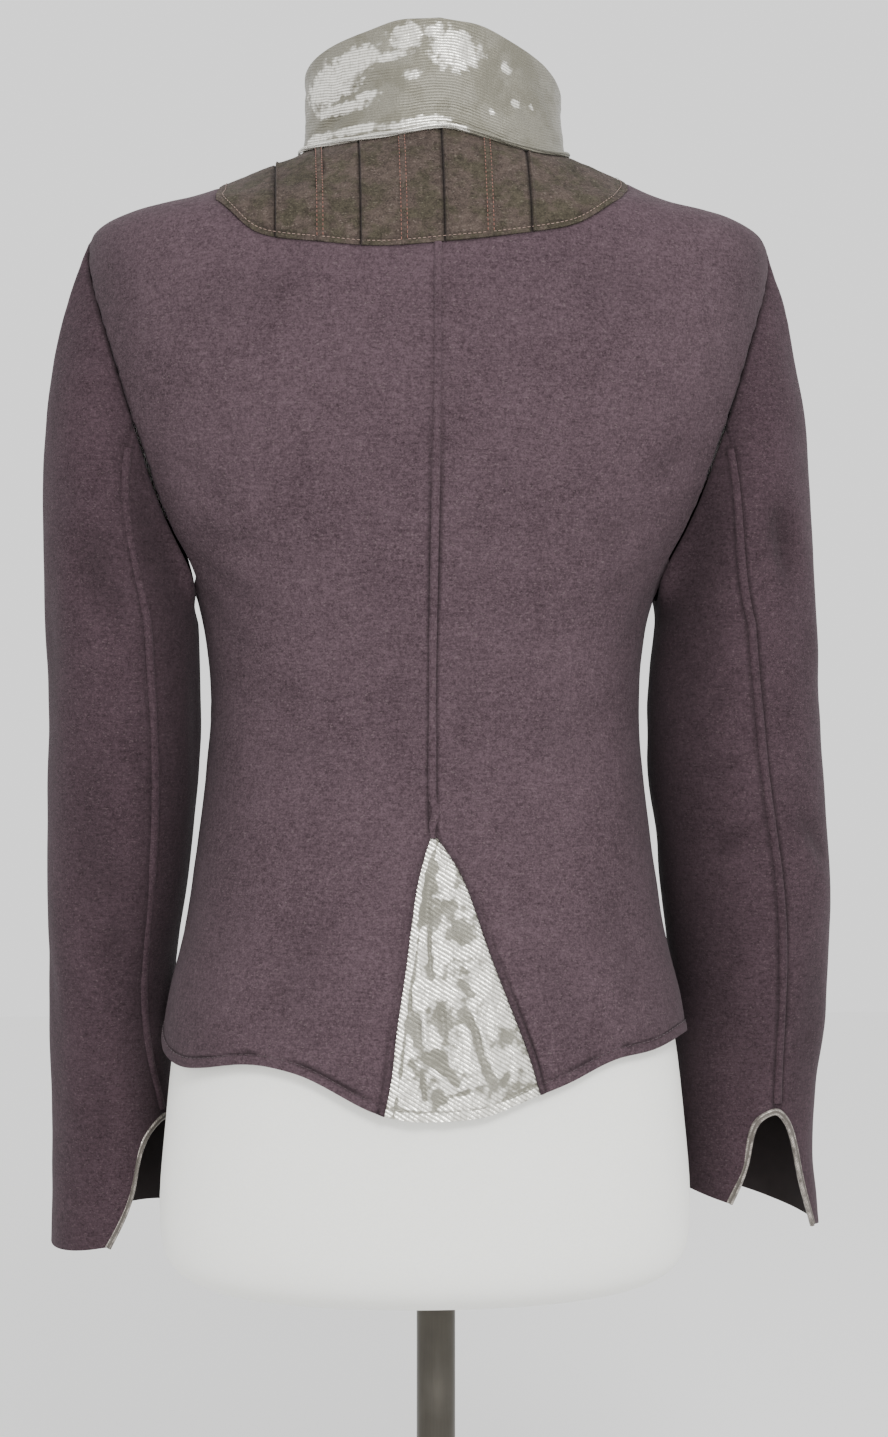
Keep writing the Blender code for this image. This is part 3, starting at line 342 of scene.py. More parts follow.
# The form below the hem and at the neck
FORM_FOOT = [Section(*row) for row in (
    (0.2880, 0.0450, 0.0320, 0.0320, 2.0), (0.2895, 0.0950, 0.0640, 0.0640, 2.1),
    (0.2935, 0.1290, 0.0830, 0.0830, 2.2), (0.3005, 0.1480, 0.0950, 0.0950, 2.2),
    (0.3110, 0.1590, 0.1020, 0.1020, 2.2), (0.3300, 0.1638, 0.1058, 0.1058, 2.2),
    (0.3600, 0.1636, 0.1072, 0.1066, 2.2), (0.3950, 0.1605, 0.1080, 0.1060, 2.2),
)]
FORM_BODY_HEIGHTS = (
    0.435, 0.480, 0.525, 0.575, 0.630, 0.680, 0.720, 0.755, 0.790, 0.825, 0.860, 0.890, 0.915, 0.932, 0.944,
    0.955, 0.966, 0.977,
)
FORM_NECK = [Section(*row) for row in (
    (0.9880, 0.0700, 0.0620, 0.0490, 2.0), (1.0030, 0.0600, 0.0540, 0.0510, 2.0),
    (1.0200, 0.0575, 0.0500, 0.0530, 2.0), (1.0300, 0.0560, 0.0485, 0.0515, 2.0),
    (1.0330, 0.0500, 0.0430, 0.0460, 2.0),
)]

# What only shows close up
GODET_TURN, GODET_LIFT = 3.5 * MM, 1.1 * MM
BRINK_LIFT = 0.5 * MM
CHANNEL_WIDTH, CHANNEL_SHADE = 0.05, 1.2
WELT_PROFILE = (
    (-0.62, -0.10), (-0.50, 0.45), (-0.36, 0.92), (-0.12, 1.05), (0.12, 1.05), (0.36, 0.92), (0.50, 0.45),
    (0.62, -0.10),
)
YOKE_LIFT = 0.6 * MM
YOKE_LAP, YOKE_LAP_ANGLE = 0.8 * MM, 0.3
WELT_OVER = 4.5 * MM
JOG_ASIDE, JOG_HEIGHT, JOG_LENGTH = -2.1 * MM, 0.5885, 5 * MM
SLEEVE_WELT = 1.1
GODET_SHINE_DEPTH = 1.1 * MM
HEM_STITCH = 5.6 * MM
YOKE_STITCH = 1.7 * MM
DOUBLE_ROW = 3.5 * MM
STITCH_PITCH = 1.35
STITCH_SINK = 0.1
HOLE_RADIUS, HOLE_REACH = 0.95 * MM, 2.5 * MM
BUTTONHOLE_HALF, BUTTONHOLE_ASIDE = 13 * MM, 2 * MM
FORM_ROW_STEPS = 3
CLOTH = []

# Studio and camera
FLOOR_SIZE, FLOOR_COLOUR = 9.0, (0.93, 0.93, 0.925, 1)
WORLD_STRENGTH = 1.35
LIGHT_AIM = (0, 0, 0.7)
STUDIO_LIGHTS = [("Soft key", (-0.4, 2.7, 2.2), 75, 0.9)]
CAMERA_TURN, CAMERA_DISTANCE, CAMERA_HEIGHT, CAMERA_ASIDE, CAMERA_LENS = 3.2, 1.8, 0.643, 0.0115, 72.7


class Spline:
    """A natural cubic spline through knots (x, y); y may have several columns."""

    def __init__(self, x, y):
        self.x, self.y = np.array(x, float), np.array(y, float)
        step = np.diff(self.x)
        count = len(self.x)
        system, right = np.eye(count), np.zeros_like(self.y)
        for i in range(1, count - 1):
            system[i, i - 1:i + 2] = step[i - 1], 2 * (step[i - 1] + step[i]), step[i]
            rise = (self.y[i + 1] - self.y[i]) / step[i] - (self.y[i] - self.y[i - 1]) / step[i - 1]
            right[i] = 6 * rise
        self.bend = np.linalg.solve(system, right)

    def __call__(self, at):
        at = np.clip(np.asarray(at, float), self.x[0], self.x[-1])
        i = np.clip(np.searchsorted(self.x, at, side="right") - 1, 0, len(self.x) - 2)
        step = self.x[i + 1] - self.x[i]
        a, b = (self.x[i + 1] - at) / step, (at - self.x[i]) / step
        if self.y.ndim > 1:
            a, b, step = a[..., None], b[..., None], step[..., None]
        curve = (a**3 - a) * self.bend[i] + (b**3 - b) * self.bend[i + 1]
        return a * self.y[i] + b * self.y[i + 1] + curve * step**2 / 6


def edge_spline(rows):
    return Spline([row.angle for row in rows], [row.height for row in rows])


def tape_marks(rows):
    """Distance up a stack of sections, along their sides."""
    side = np.array([(row.half_width, row.height) for row in rows])
    return np.concatenate([[0], np.cumsum(np.linalg.norm(np.diff(side, axis=0), axis=1))])


def unit(vectors):
    return vectors / np.maximum(np.linalg.norm(vectors, axis=-1, keepdims=True), 1e-12)


def hump(x, width):
    """1 at 0, falling off softly to either side over a width."""
    return np.exp(-(x / width)**2)


def smooth_step(x):
    x = np.clip(x, 0, 1)
    return x * x * (3 - 2 * x)


BODY_TAPE = tape_marks(BODY)
BODY_SPLINE = Spline(BODY_TAPE, np.array(BODY))
FINE_TAPE = np.linspace(0, BODY_TAPE[-1], 2000)
FINE_HEIGHT = BODY_SPLINE(FINE_TAPE)[:, 0]
LEAN_SPLINE = Spline([row.height for row in LEAN], [row.aside for row in LEAN])
HEM_SPLINE, YOKE_SPLINE, NECK_SPLINE = edge_spline(HEM), edge_spline(YOKE), edge_spline(NECK)


def tape_at(height):
    return np.interp(height, FINE_HEIGHT, FINE_TAPE)


def ring_point(angle, sections):
    """Points at an angle (degrees) on rounded sections given as rows of height, sizes and roundness."""
    turn = np.radians(angle)
    height, half_width, back, front, roundness = np.moveaxis(sections, -1, 0)
    depth = np.where(np.cos(turn) > 0, back, front)
    sine, cosine = np.sin(turn), np.cos(turn)
    power = np.abs(sine / half_width)**roundness + np.abs(cosine / depth)**roundness
    reach = power**(-1 / roundness)
    return np.stack([reach * sine, reach * cosine, height], axis=-1)


def body_point(angle, tape):
    angle, tape = np.broadcast_arrays(np.asarray(angle, float), np.asarray(tape, float))
    sections = BODY_SPLINE(tape)
    points = ring_point(angle, sections)
    points[..., 0] += LEAN_SPLINE(sections[..., 0])
    return points


def body_normal(angle, tape):
    turn, rise = 0.2, 0.4 * MM
    across = body_point(np.asarray(angle) + turn, tape) - body_point(np.asarray(angle) - turn, tape)
    up = body_point(angle, np.asarray(tape) + rise) - body_point(angle, np.asarray(tape) - rise)
    return unit(np.cross(up, across))


def hem_height(angle):
    """The wavy hem; past the last row of its table it runs on to the centre front."""
    angle = np.asarray(angle, float)
    last = HEM[-1].angle
    toward = smooth_step((np.abs(angle) - last) / (180 - last))
    edge = HEM_SPLINE(np.clip(angle, -last, last))
    return edge + (HEM_FRONT - edge) * toward


def neck_height(angle):
    return NECK_SPLINE((np.asarray(angle, float) + 180) % 360 - 180)


def armhole(place):
    """(angle, tape) of the armhole seam at places 0 to 1 round it, on the left of the body."""
    rows = np.array(ARMHOLE)
    lead = rows[-4:-1] - (1, 0, 0)
    follow = rows[1:4] + (1, 0, 0)
    knots = np.concatenate([lead, rows, follow])
    curve = Spline(knots[:, 0], np.column_stack([knots[:, 1], tape_at(knots[:, 2])]))(np.asarray(place) % 1.0)
    return curve[..., 0], curve[..., 1]


def armhole_point(side, place):
    angle, tape = armhole(place)
    return body_point(side * angle, tape), body_normal(side * angle, tape)


def coons(bottom, top, left, right):
    """A grid of (angle, tape) rows from four edges, whose ends meet."""
    across = np.linspace(0, 1, len(bottom))[None, :, None]
    up = np.linspace(0, 1, len(left))[:, None, None]
    ruled = (1 - up) * bottom[None] + up * top[None] + (1 - across) * left[:, None] + across * right[:, None]
    corners = ((1 - up) * ((1 - across) * bottom[0] + across * bottom[-1])
               + up * ((1 - across) * top[0] + across * top[-1]))
    return ruled - corners


def edge(angles, heights):
    """An edge as (angle, tape) pairs from angles and heights."""
    angles, heights = np.broadcast_arrays(np.asarray(angles, float), np.asarray(heights, float))
    return np.column_stack([angles, tape_at(heights)])


def trimmed(points):
    """The grid with its edges let out by half the lap of a sewn seam, square to each edge."""
    points = points.copy()
    moves = []
    for rim, inside in ((points[:, 0], points[:, 1]), (points[:, -1], points[:, -2]), (points[0], points[1]),
                        (points[-1], points[-2])):
        along = unit(np.gradient(rim, axis=0))
        inward = inside - rim
        inward = inward - np.sum(inward * along, axis=-1, keepdims=True) * along
        moves.append((rim, unit(inward) * SEAM_LAP / 2))
    for rim, move in moves:
        rim -= move
    return points


def grid_faces(rows, columns, start=0, closed=False):
    """Quads of a grid of points numbered row by row; closed joins its last column to its first."""
    faces = []
    for row in range(rows - 1):
        for column in range(columns if closed else columns - 1):
            beside = (column + 1) % columns
            below, above = start + row * columns, start + (row + 1) * columns
            faces.append((below + column, below + beside, above + beside, above + column))
    return faces


def sleeve_ring(side, down, turn):
    """Points of the sleeve below the armpit; turn is in degrees, 0 outwards and 90 to the back."""
    rows = np.array(SLEEVES[side])
    middle_x, middle_y, half_x, half_y = np.moveaxis(Spline(rows[:, 0], rows[:, 1:5])(down), -1, 0)
    angle = np.radians(turn)
    cuff = CUFFS[side].height - CUFFS[side].outer_drop * np.cos(angle) - CUFFS[side].back_drop * np.sin(angle)
    x = middle_x + half_x * np.cos(angle)
    y = middle_y + half_y * np.sin(angle)
    z = SLEEVE_TOP + (cuff - SLEEVE_TOP) * down
    return np.stack([side * x, y, z], axis=-1)


def sleeve_point(side, place, reach):
    """Points of the sleeve: reach 0 at the armhole, 1 at the armpit's level and 2 at the cuff."""
    place, reach = np.broadcast_arrays(np.asarray(place, float), np.asarray(reach, float))
    turn = 180 - 360 * place
    low = sleeve_ring(side, np.clip(reach - 1, 0, 1), turn)
    pit = 1 - smooth_step(np.minimum(place % 1, 1 - place % 1) / PIT_SPREAD)
    start, out = armhole_point(side, place)
    start = start + out * (pit * PIT_GAP)[..., None]
    end = sleeve_ring(side, np.zeros_like(place), turn)
    chord = np.linalg.norm(end - start, axis=-1, keepdims=True)
    sine = np.sin(np.radians(turn))[..., None]
    leave = unit(side * CAP_OUT[side] * np.array([1.0, 0, 0]) + CAP_DEPTHWISE * sine * np.array([0, 1.0, 0])
                 - CAP_DOWN * np.array([0, 0, 1.0])) * chord
    arrive = unit(sleeve_ring(side, np.full_like(place, 0.02), turn) - end) * chord
    t = np.clip(reach, 0, 1)[..., None]
    cap = ((2 * t**3 - 3 * t**2 + 1) * start + (t**3 - 2 * t**2 + t) * leave
           + (3 * t**2 - 2 * t**3) * end + (t**3 - t**2) * arrive)
    return np.where(reach[..., None] > 1, low, cap)


def sleeve_normal(side, place, reach):
    turn, slide = 0.002, 0.004
    reach = np.clip(reach, 0, 2 - slide)
    across = sleeve_point(side, place + turn, reach) - sleeve_point(side, place - turn, reach)
    down = sleeve_point(side, place, reach + slide) - sleeve_point(side, place, np.maximum(reach - slide, 0))
    return unit(np.cross(across, down)) * side


def armhole_mitre(side, place):
    """How far in the walls of body and sleeve go where they share the armhole, for a wall 1 thick."""
    body = armhole_point(side, place)[1]
    sleeve = sleeve_normal(side, place, np.zeros_like(place))
    together = np.sum(body * sleeve, axis=-1, keepdims=True)
    shared = (body + sleeve) / np.maximum(1 + together, MITRE_LIMIT)
    share = smooth_step((together + MITRE_TURN) / MITRE_LIMIT)
    return body * (1 - share) + shared * share, sleeve * (1 - share) + shared * share


def seam_place(side, reach, seam):
    """Where a sleeve seam lies round the sleeve; seam is back_seam or front_seam."""
    rows = SLEEVES[side]
    start = (BACK_SEAM_STEP if seam == "back_seam" else FRONT_SEAM_STEP) / ARMHOLE_STEPS
    places = [start] + [(180 - getattr(row, seam)) / 360 for row in rows]
    return Spline([0] + [1 + row.down for row in rows], places)(reach)


def vent_half(side, reach, leg):
    """How far the vent's edge lies from the seam, in places round the sleeve."""
    rows = Spline([math.sqrt(row.down) for row in VENT], [getattr(row, leg) for row in VENT])
    half = np.maximum(rows(np.sqrt(np.clip((reach - VENT_TOP) / (2 - VENT_TOP), 0, 1))), 0)
    if leg == "outer":
        half = half * VENT_SPREAD[side]
    ring = SLEEVES[side][-1]
    return np.where(reach > VENT_TOP, half / (2 * math.pi * (ring.half_x + ring.half_y) / 2), 0)


def godet_edge(side):
    """One slanting side of the godet's opening from the hem to its tip, as (angle, tape) rows."""
    rise = np.linspace(0, 1, GODET_ROWS + 1)
    column = "left" if side == LEFT else "right"
    angles = Spline([row.rise for row in GODET], [getattr(row, column) for row in GODET])(rise)
    foot, top = tape_at(hem_height(angles[0])), tape_at(GODET_TOP)
    return np.column_stack([angles, foot + (top - foot) * rise])


def collar_line(angle):
    """The neckline and the collar's upper edge at angles from -174 to 174."""
    side = np.where(angle < 0, -1, 1)
    size = np.abs(angle)
    low = body_point(angle, tape_at(neck_height(angle)))
    columns = [Spline([row.angle for row in rows], [(row.reach, row.height) for row in rows])(size)
               for rows in (COLLAR_LEFT, COLLAR_RIGHT)]
    reach, height = np.moveaxis(np.where(side[..., None] > 0, columns[0], columns[1]), -1, 0)
    turn = np.radians(angle)
    high = np.stack([reach * np.sin(turn) + COLLAR_SHIFT, reach * np.cos(turn), height], axis=-1)
    return low, high


# How finely the shells are cut: steps between the rows and columns that the solids have
ROW_STEPS, COLUMN_STEPS = 7, 6
YOKE_ROW_STEPS, YOKE_COLUMN_STEPS = 9, 6
GODET_ROW_STEPS, GODET_COLUMN_STEPS = 18, 15
SLEEVE_ROWS, SLEEVE_COLUMN_STEPS = 150, 4
SLEEVE_SHARES, SLEEVE_REACHES = (0, 0.30, 0.72, 0.84, 1.0), (0.0, 1.0, VENT_TOP - 0.004, VENT_TOP + 0.02, 2.0)
COLLAR_FINE_ROWS, COLLAR_FINE_COLUMNS = 56, 330
FORM_FINE_SIDES = 96

# A crease runs from one place to another and bows aside in its middle; depth is below the cloth, minus above
# it. Places are (angle, height) on the body, (turn, height) on a sleeve and (angle, share of the height) on
# the collar
Crease = namedtuple("Crease", "angle height to_angle to_height bow width depth")


def creases(*rows):
    """Creases from rows of numbers, their widths and depths in millimetres."""
    return [Crease(*row[:5], row[5] * MM, row[6] * MM) for row in rows]


BACK_CREASES = creases(
    (74, 0.745, 50, 0.705, 4, 9, 1.3), (72, 0.760, 44, 0.742, 3, 8, 0.9), (76, 0.725, 58, 0.668, 3, 8, 1.0),
    (66, 0.800, 54, 0.772, 2, 10, 0.8), (-73, 0.750, -52, 0.712, -4, 9, 1.2),
    (-70, 0.768, -46, 0.752, -2, 9, 0.8), (-76, 0.722, -60, 0.672, -3, 8, 0.9),
    (-66, 0.815, -56, 0.780, -2, 10, 0.7), (80, 0.650, 40, 0.662, 2, 11, 0.8),
    (72, 0.618, 30, 0.628, -2, 12, 0.7), (-80, 0.655, -44, 0.645, -2, 10, 0.8),
    (-70, 0.622, -28, 0.634, 2, 12, 0.6), (58, 0.560, 64, 0.455, 3, 16, 1.0),
    (40, 0.540, 44, 0.450, -2, 15, 0.8), (-52, 0.560, -58, 0.460, -3, 16, 1.0),
    (-36, 0.520, -42, 0.440, 2, 14, 0.7), (30, 0.905, 62, 0.880, 4, 18, 0.7),
    (-32, 0.908, -60, 0.885, -4, 18, 0.6), (12, 0.620, 9, 0.700, 2, 12, 0.5),
    (-10, 0.605, -14, 0.680, -2, 12, 0.5),
)
FRONT_CREASES = creases(
    (104, 0.742, 128, 0.712, 4, 9, 1.2), (106, 0.765, 136, 0.752, 3, 9, 0.8),
    (100, 0.725, 118, 0.672, 3, 8, 0.9), (-105, 0.745, -130, 0.716, -4, 9, 1.1),
    (-107, 0.770, -134, 0.760, -3, 9, 0.8), (-101, 0.722, -120, 0.668, -3, 8, 0.9),
    (100, 0.655, 150, 0.662, 3, 11, 0.9), (110, 0.622, 160, 0.634, -3, 12, 0.7),
    (-102, 0.650, -148, 0.660, -3, 11, 0.8), (-112, 0.625, -158, 0.632, 3, 12, 0.7),
    (118, 0.560, 112, 0.452, 3, 15, 1.0), (146, 0.550, 150, 0.440, 3, 16, 0.9),
    (-120, 0.558, -114, 0.455, -3, 15, 1.0), (-144, 0.545, -149, 0.440, -3, 16, 0.8),
    (112, 0.900, 148, 0.870, 4, 18, 0.8), (-112, 0.902, -146, 0.872, -4, 18, 0.7),
)
SLEEVE_CREASES = {
    LEFT: creases(
        (72, 0.860, 62, 0.720, 6, 13, 1.9), (96, 0.790, 92, 0.690, -5, 10, 1.2),
        (48, 0.800, 44, 0.640, 6, 15, -1.1), (30, 0.740, 24, 0.600, -5, 14, 0.9),
        (60, 0.640, 66, 0.520, 5, 13, 1.0), (40, 0.560, 52, 0.430, -6, 14, -0.9),
        (20, 0.520, 30, 0.400, 5, 13, 0.8), (84, 0.560, 96, 0.455, 6, 12, 0.9),
        (70, 0.450, 84, 0.370, 4, 12, 0.8), (110, 0.520, 70, 0.500, 3, 10, 0.7),
        (104, 0.552, 60, 0.545, 2, 9, 0.6), (150, 0.700, 165, 0.560, 5, 12, 1.1),
        (-30, 0.760, -34, 0.620, 5, 14, 0.9), (-60, 0.560, -20, 0.530, 4, 11, 1.1),
        (-70, 0.530, -30, 0.508, -3, 10, 0.9), (-50, 0.490, -58, 0.380, 5, 13, 0.9),
    ),
    RIGHT: creases(
        (61, 0.866, 55, 0.780, 3, 9, 2.6), (66, 0.812, 59, 0.745, -3, 8, 1.3),
        (30, 0.800, 24, 0.650, 5, 15, -1.0), (104, 0.700, 138, 0.652, 4, 9, 1.6),
        (98, 0.668, 130, 0.622, 4, 9, 1.3), (120, 0.705, 150, 0.668, 4, 9, 1.3),
        (96, 0.622, 136, 0.598, -3, 8, 1.1), (88, 0.596, 128, 0.566, 4, 8, -0.8),
        (92, 0.580, 124, 0.548, 4, 8, 1.5), (60, 0.590, 30, 0.556, -3, 8, 1.3),
        (56, 0.570, 22, 0.532, -3, 9, -0.8), (110, 0.540, 118, 0.410, 5, 13, 1.0),
        (46, 0.520, 50, 0.400, -5, 14, 0.9), (90, 0.470, 98, 0.380, 4, 11, 0.7),
        (-20, 0.740, -26, 0.610, 5, 14, 0.9), (-62, 0.590, -18, 0.562, 4, 10, 1.2),
        (-72, 0.560, -34, 0.536, -3, 10, 0.9), (-48, 0.500, -56, 0.390, 5, 13, 0.9),
    ),
}
COLLAR_CREASES = creases(
    (72, 0.30, 6, 0.62, 6, 4.5, 1.5), (66, 0.12, 34, 0.34, 4, 3.5, 1.1),
    (60, 0.36, 30, 0.46, -3, 3.0, -0.9), (58, 0.22, 48, 0.26, 2, 4.0, 1.2),
    (21, 0.95, 22, 0.64, 2, 2.2, 1.0), (14, 0.98, 10, 0.60, -2, 2.6, -0.8),
    (8, 0.66, -22, 0.56, 3, 3.4, 1.1), (-17, 0.90, -20, 0.58, 3, 3.0, 0.9),
    (2, 0.92, -3, 0.74, 3, 2.4, -0.7), (34, 0.78, 18, 0.66, 3, 3.0, 0.8), (46, 0.86, 30, 0.98, 2, 4.0, 0.7),
    (-26, 0.84, -34, 0.66, -3, 2.8, -0.7), (-34, 0.46, -44, 0.36, -2, 3.0, 0.8),
    (-50, 0.80, -58, 0.30, -4, 7.0, 0.9), (-74, 0.80, -80, 0.20, -4, 8.0, 0.8),
    (20, 0.20, -30, 0.14, 4, 3.0, 0.8), (96, 0.80, 80, 0.20, 5, 5.0, 1.2),
    (120, 0.70, 98, 0.30, 4, 4.5, 1.1), (140, 0.80, 128, 0.15, 4, 5.0, 0.9),
    (162, 0.60, 140, 0.42, 3, 4.0, 0.9), (-100, 0.75, -92, 0.20, -4, 5.0, 1.1),
    (-124, 0.65, -104, 0.35, -4, 4.5, 1.0), (-146, 0.80, -132, 0.20, -3, 5.0, 0.9),
    (-160, 0.50, -142, 0.40, -3, 4.0, 0.8),
)
# Where the collar shines: middle (angle, share of the height), half sizes and strength
Patch = namedtuple("Patch", "angle share half_angle half_share strength")
COLLAR_PATCHES = [Patch(*row) for row in (
    (58, 0.62, 17, 0.22, 1.1), (42, 0.76, 14, 0.13, 1.0), (-8, 0.72, 12, 0.18, 1.2),
    (16, 0.84, 9, 0.13, 0.9), (2, 0.88, 6, 0.08, 0.9), (24, 0.70, 10, 0.05, 0.8), (50, 0.34, 17, 0.06, 1.0),
    (36, 0.40, 8, 0.05, 0.9), (14, 0.50, 7, 0.05, 0.7), (64, 0.10, 12, 0.06, 1.0),
    (40, 0.10, 16, 0.05, 0.9), (10, 0.07, 18, 0.05, 1.0), (-34, 0.72, 3, 0.06, 0.9),
    (-38, 0.42, 3, 0.05, 0.8), (-27, 0.25, 2, 0.04, 0.7), (-46, 0.44, 2, 0.04, 0.7),
    (110, 0.65, 16, 0.20, 0.9), (-105, 0.60, 15, 0.20, 0.8), (150, 0.45, 10, 0.16, 0.7),
    (-148, 0.50, 12, 0.18, 0.7),
)]
GODET_CREASES = creases(
    (-0.4, 0.5620, 0.2, 0.5380, 0.4, 4.6, 1.3), (-2.0, 0.5700, -3.4, 0.5560, 0.2, 1.4, -0.7),
    (6.4, 0.470, 4.0, 0.4507, 0.0, 3.6, 1.3), (4.4, 0.453, -5.4, 0.4300, -1.2, 3.6, 1.4),
    (-9.2, 0.474, -13.6, 0.4480, -0.6, 2.9, 1.5), (-13.0, 0.452, -17.0, 0.4300, 0.6, 3.0, 1.4),
    (-1.8, 0.476, -2.8, 0.4570, -0.4, 2.0, 1.2), (1.6, 0.551, 2.1, 0.5200, 0.3, 3.2, 1.3),
    (1.4, 0.524, 0.6, 0.4880, 0.2, 1.5, 1.1), (-2.6, 0.5345, -8.8, 0.5330, 0.4, 2.6, 1.2),
    (-7.2, 0.524, -11.8, 0.5100, -0.8, 4.4, 1.1), (-7.8, 0.491, -12.3, 0.4800, 0.4, 2.3, 1.3),
    (1.0, 0.426, -3.0, 0.4185, -0.4, 3.4, 1.2), (-3.2, 0.4225, -15.0, 0.4290, 0.4, 1.7, 1.0),
    (7.4, 0.492, 6.6, 0.4700, 0.3, 1.6, 0.9), (3.4, 0.438, 2.8, 0.4200, 0.2, 1.4, 1.1),
    (3.2, 0.474, 0.4, 0.4430, 0.8, 1.5, -0.9), (-11.0, 0.474, -15.4, 0.4440, -0.6, 1.4, -0.9),
    (2.6, 0.441, -6.0, 0.4240, -1.2, 1.6, -0.9), (-6.2, 0.4245, -13.0, 0.4350, 0.8, 1.5, -0.8),
    (-4.4, 0.486, -8.6, 0.4820, 0.6, 1.5, -0.7), (-14.0, 0.500, -9.4, 0.4960, 0.6, 1.6, -0.8),
)
SEAM_DIP, SEAM_DIP_WIDTH = 0.9 * MM, 1.9 * MM
SLEEVE_DRAPE = {LEFT: 1.4, RIGHT: 1.9}
# Strengths of painted shade: in the creases of the sleeves and the back (full at these crease depths), on the sleeves'
# sides that face the body and on the sides of the body
FOLD_SHADE, FOLD_DEPTH = 0.40, 2.6 * MM
BACK_SHADE, BACK_DEPTH = 0.30, 1.4 * MM
INNER_SHADE, SIDE_SHADE = 0.50, 0.30

# Lines that show darker, as dark thread and as painted shade in grooves, or on the silver brighter, as painted
# highlight: strength, distance from the edge or seam, and width
Mark = namedtuple("Mark", "strength away width")
GODET_STITCHED = Mark(0.9, GODET_TURN * 1.12, 0.5 * MM)
GODET_FRAME = Mark(0.55, 0.0, 2.2 * MM)
HEM_STITCHED = Mark(0.9, HEM_BAND * 1.1, 0.6 * MM)
BRINK_STITCHED = Mark(0.8, HEM_BAND * 1.1, 0.5 * MM)
CENTRE_GROOVE = Mark(0.9, WELT_WIDTH * 0.62, 0.7 * MM)
ARMHOLE_GROOVE = Mark(0.8, 0.0, 1.3 * MM)
SLEEVE_GROOVE = {
    LEFT: Mark(0.55, WELT_WIDTH * 0.66, 0.8 * MM),
    RIGHT: Mark(0.75, WELT_WIDTH * 0.66, 0.8 * MM),
}
YOKE_GROOVE, YOKE_STITCHED = Mark(0.8, 0.0, 1.1 * MM), Mark(0.5, 3.0 * MM, 0.5 * MM)
# Painted highlight along the godet's turned edge and hem, and painted shade in the grooves beside them
GODET_RIM, GODET_RIM_GROOVE = Mark(0.85, 1.8 * MM, 1.2 * MM), Mark(1.0, 5.0 * MM, 0.9 * MM)
GODET_HEM_RIM, GODET_HEM_GROOVE = Mark(1.0, 2.2 * MM, 1.8 * MM), Mark(1.0, HEM_STITCH, 0.8 * MM)
CREASE_STEPS = 9


def along_line(points, line):
    """Distance from points to a line of points, and how far along it the nearest place is, 0 to 1."""
    best, place = np.full(points.shape[:-1], np.inf), np.zeros(points.shape[:-1])
    count = len(line) - 1
    for i in range(count):
        step = line[i + 1] - line[i]
        share = np.clip((points - line[i]) @ step / (step @ step), 0, 1)
        gap = np.linalg.norm(points - line[i] - share[..., None] * step, axis=-1)
        nearer = gap < best
        best = np.where(nearer, gap, best)
        place = np.where(nearer, (i + share) / count, place)
    return best, place


def crease_relief(points, creases, surface):
    """How far the cloth stands out at points, from creases laid on a surface(across, up) of points."""
    relief = np.zeros(points.shape[:-1])
    t = np.linspace(0, 1, CREASE_STEPS)
    for crease in creases:
        across = crease.angle + (crease.to_angle - crease.angle) * t + crease.bow * 4 * t * (1 - t)
        up = crease.height + (crease.to_height - crease.height) * t
        gap, place = along_line(points, surface(across, up))
        fade = np.sin(math.pi * np.clip(place, 0.02, 0.98))**0.7
        relief -= crease.depth * fade * hump(gap, crease.width)
    return relief


def seam_relief(points, line, depth=SEAM_DIP, width=SEAM_DIP_WIDTH):
    """The cloth sinks towards a seam line."""
    return -depth * hump(along_line(points, line)[0], width)


def unevenness(points, size, depth, seed, waves=14):
    """Soft irregular swells of about a size, from a few crossing waves."""
    draw = np.random.default_rng(seed)
    total = np.zeros(points.shape[:-1])
    for _ in range(waves):
        direction = unit(draw.normal(size=3)) * 2 * math.pi / (size * draw.uniform(0.7, 1.6))
        total += np.sin(points @ direction + draw.uniform(0, 2 * math.pi))
    return depth * total / math.sqrt(waves)


def refine(grid, row_steps, column_steps, row_breaks=(), column_breaks=()):
    """A finer (angle, tape) grid through the same points, smooth except at the breaks."""
    for axis, steps, breaks in ((0, row_steps, row_breaks), (1, column_steps, column_breaks)):
        grid = np.moveaxis(grid, axis, 0)
        count = grid.shape[0]
        if count == 1:
            grid = np.moveaxis(grid, 0, axis)
            continue
        stops = sorted({0, count - 1, *(stop % count for stop in breaks)})
        parts = []
        for start, stop in zip(stops, stops[1:]):
            at = np.linspace(start, stop, (stop - start) * steps + 1)
            if stop - start == 1:
                share = (at - start).reshape(-1, *[1] * (grid.ndim - 1))
                part = grid[start] * (1 - share) + grid[stop] * share
            else:
                flat = grid[start:stop + 1].reshape(stop - start + 1, -1)
                part = Spline(np.arange(start, stop + 1), flat)(at).reshape(-1, *grid.shape[1:])
            parts.append(part if start == 0 else part[1:])
        grid = np.moveaxis(np.concatenate(parts), 0, axis)
    return grid


def cloth_map(grid_points):
    """Distances across and up a grid of points, in metres, as a flat pattern for weaves."""
    across = np.linalg.norm(np.diff(grid_points, axis=1), axis=-1)
    up = np.linalg.norm(np.diff(grid_points, axis=0), axis=-1)
    u = np.concatenate([np.zeros((len(grid_points), 1)), np.cumsum(across, axis=1)], axis=1)
    v = np.concatenate([np.zeros((1, grid_points.shape[1])), np.cumsum(up, axis=0)], axis=0)
    u -= u[:, u.shape[1] // 2][:, None]
    return np.stack([u, v], axis=-1)


def lay_flat(mesh, places):
    """The cloth's own map, from a place on it for each vertex."""
    corners = np.zeros(len(mesh.loops), np.int32)
    mesh.loops.foreach_get("vertex_index", corners)
    mesh.uv_layers["Cloth"].data.foreach_set("uv", np.asarray(places, np.float32)[corners].ravel())


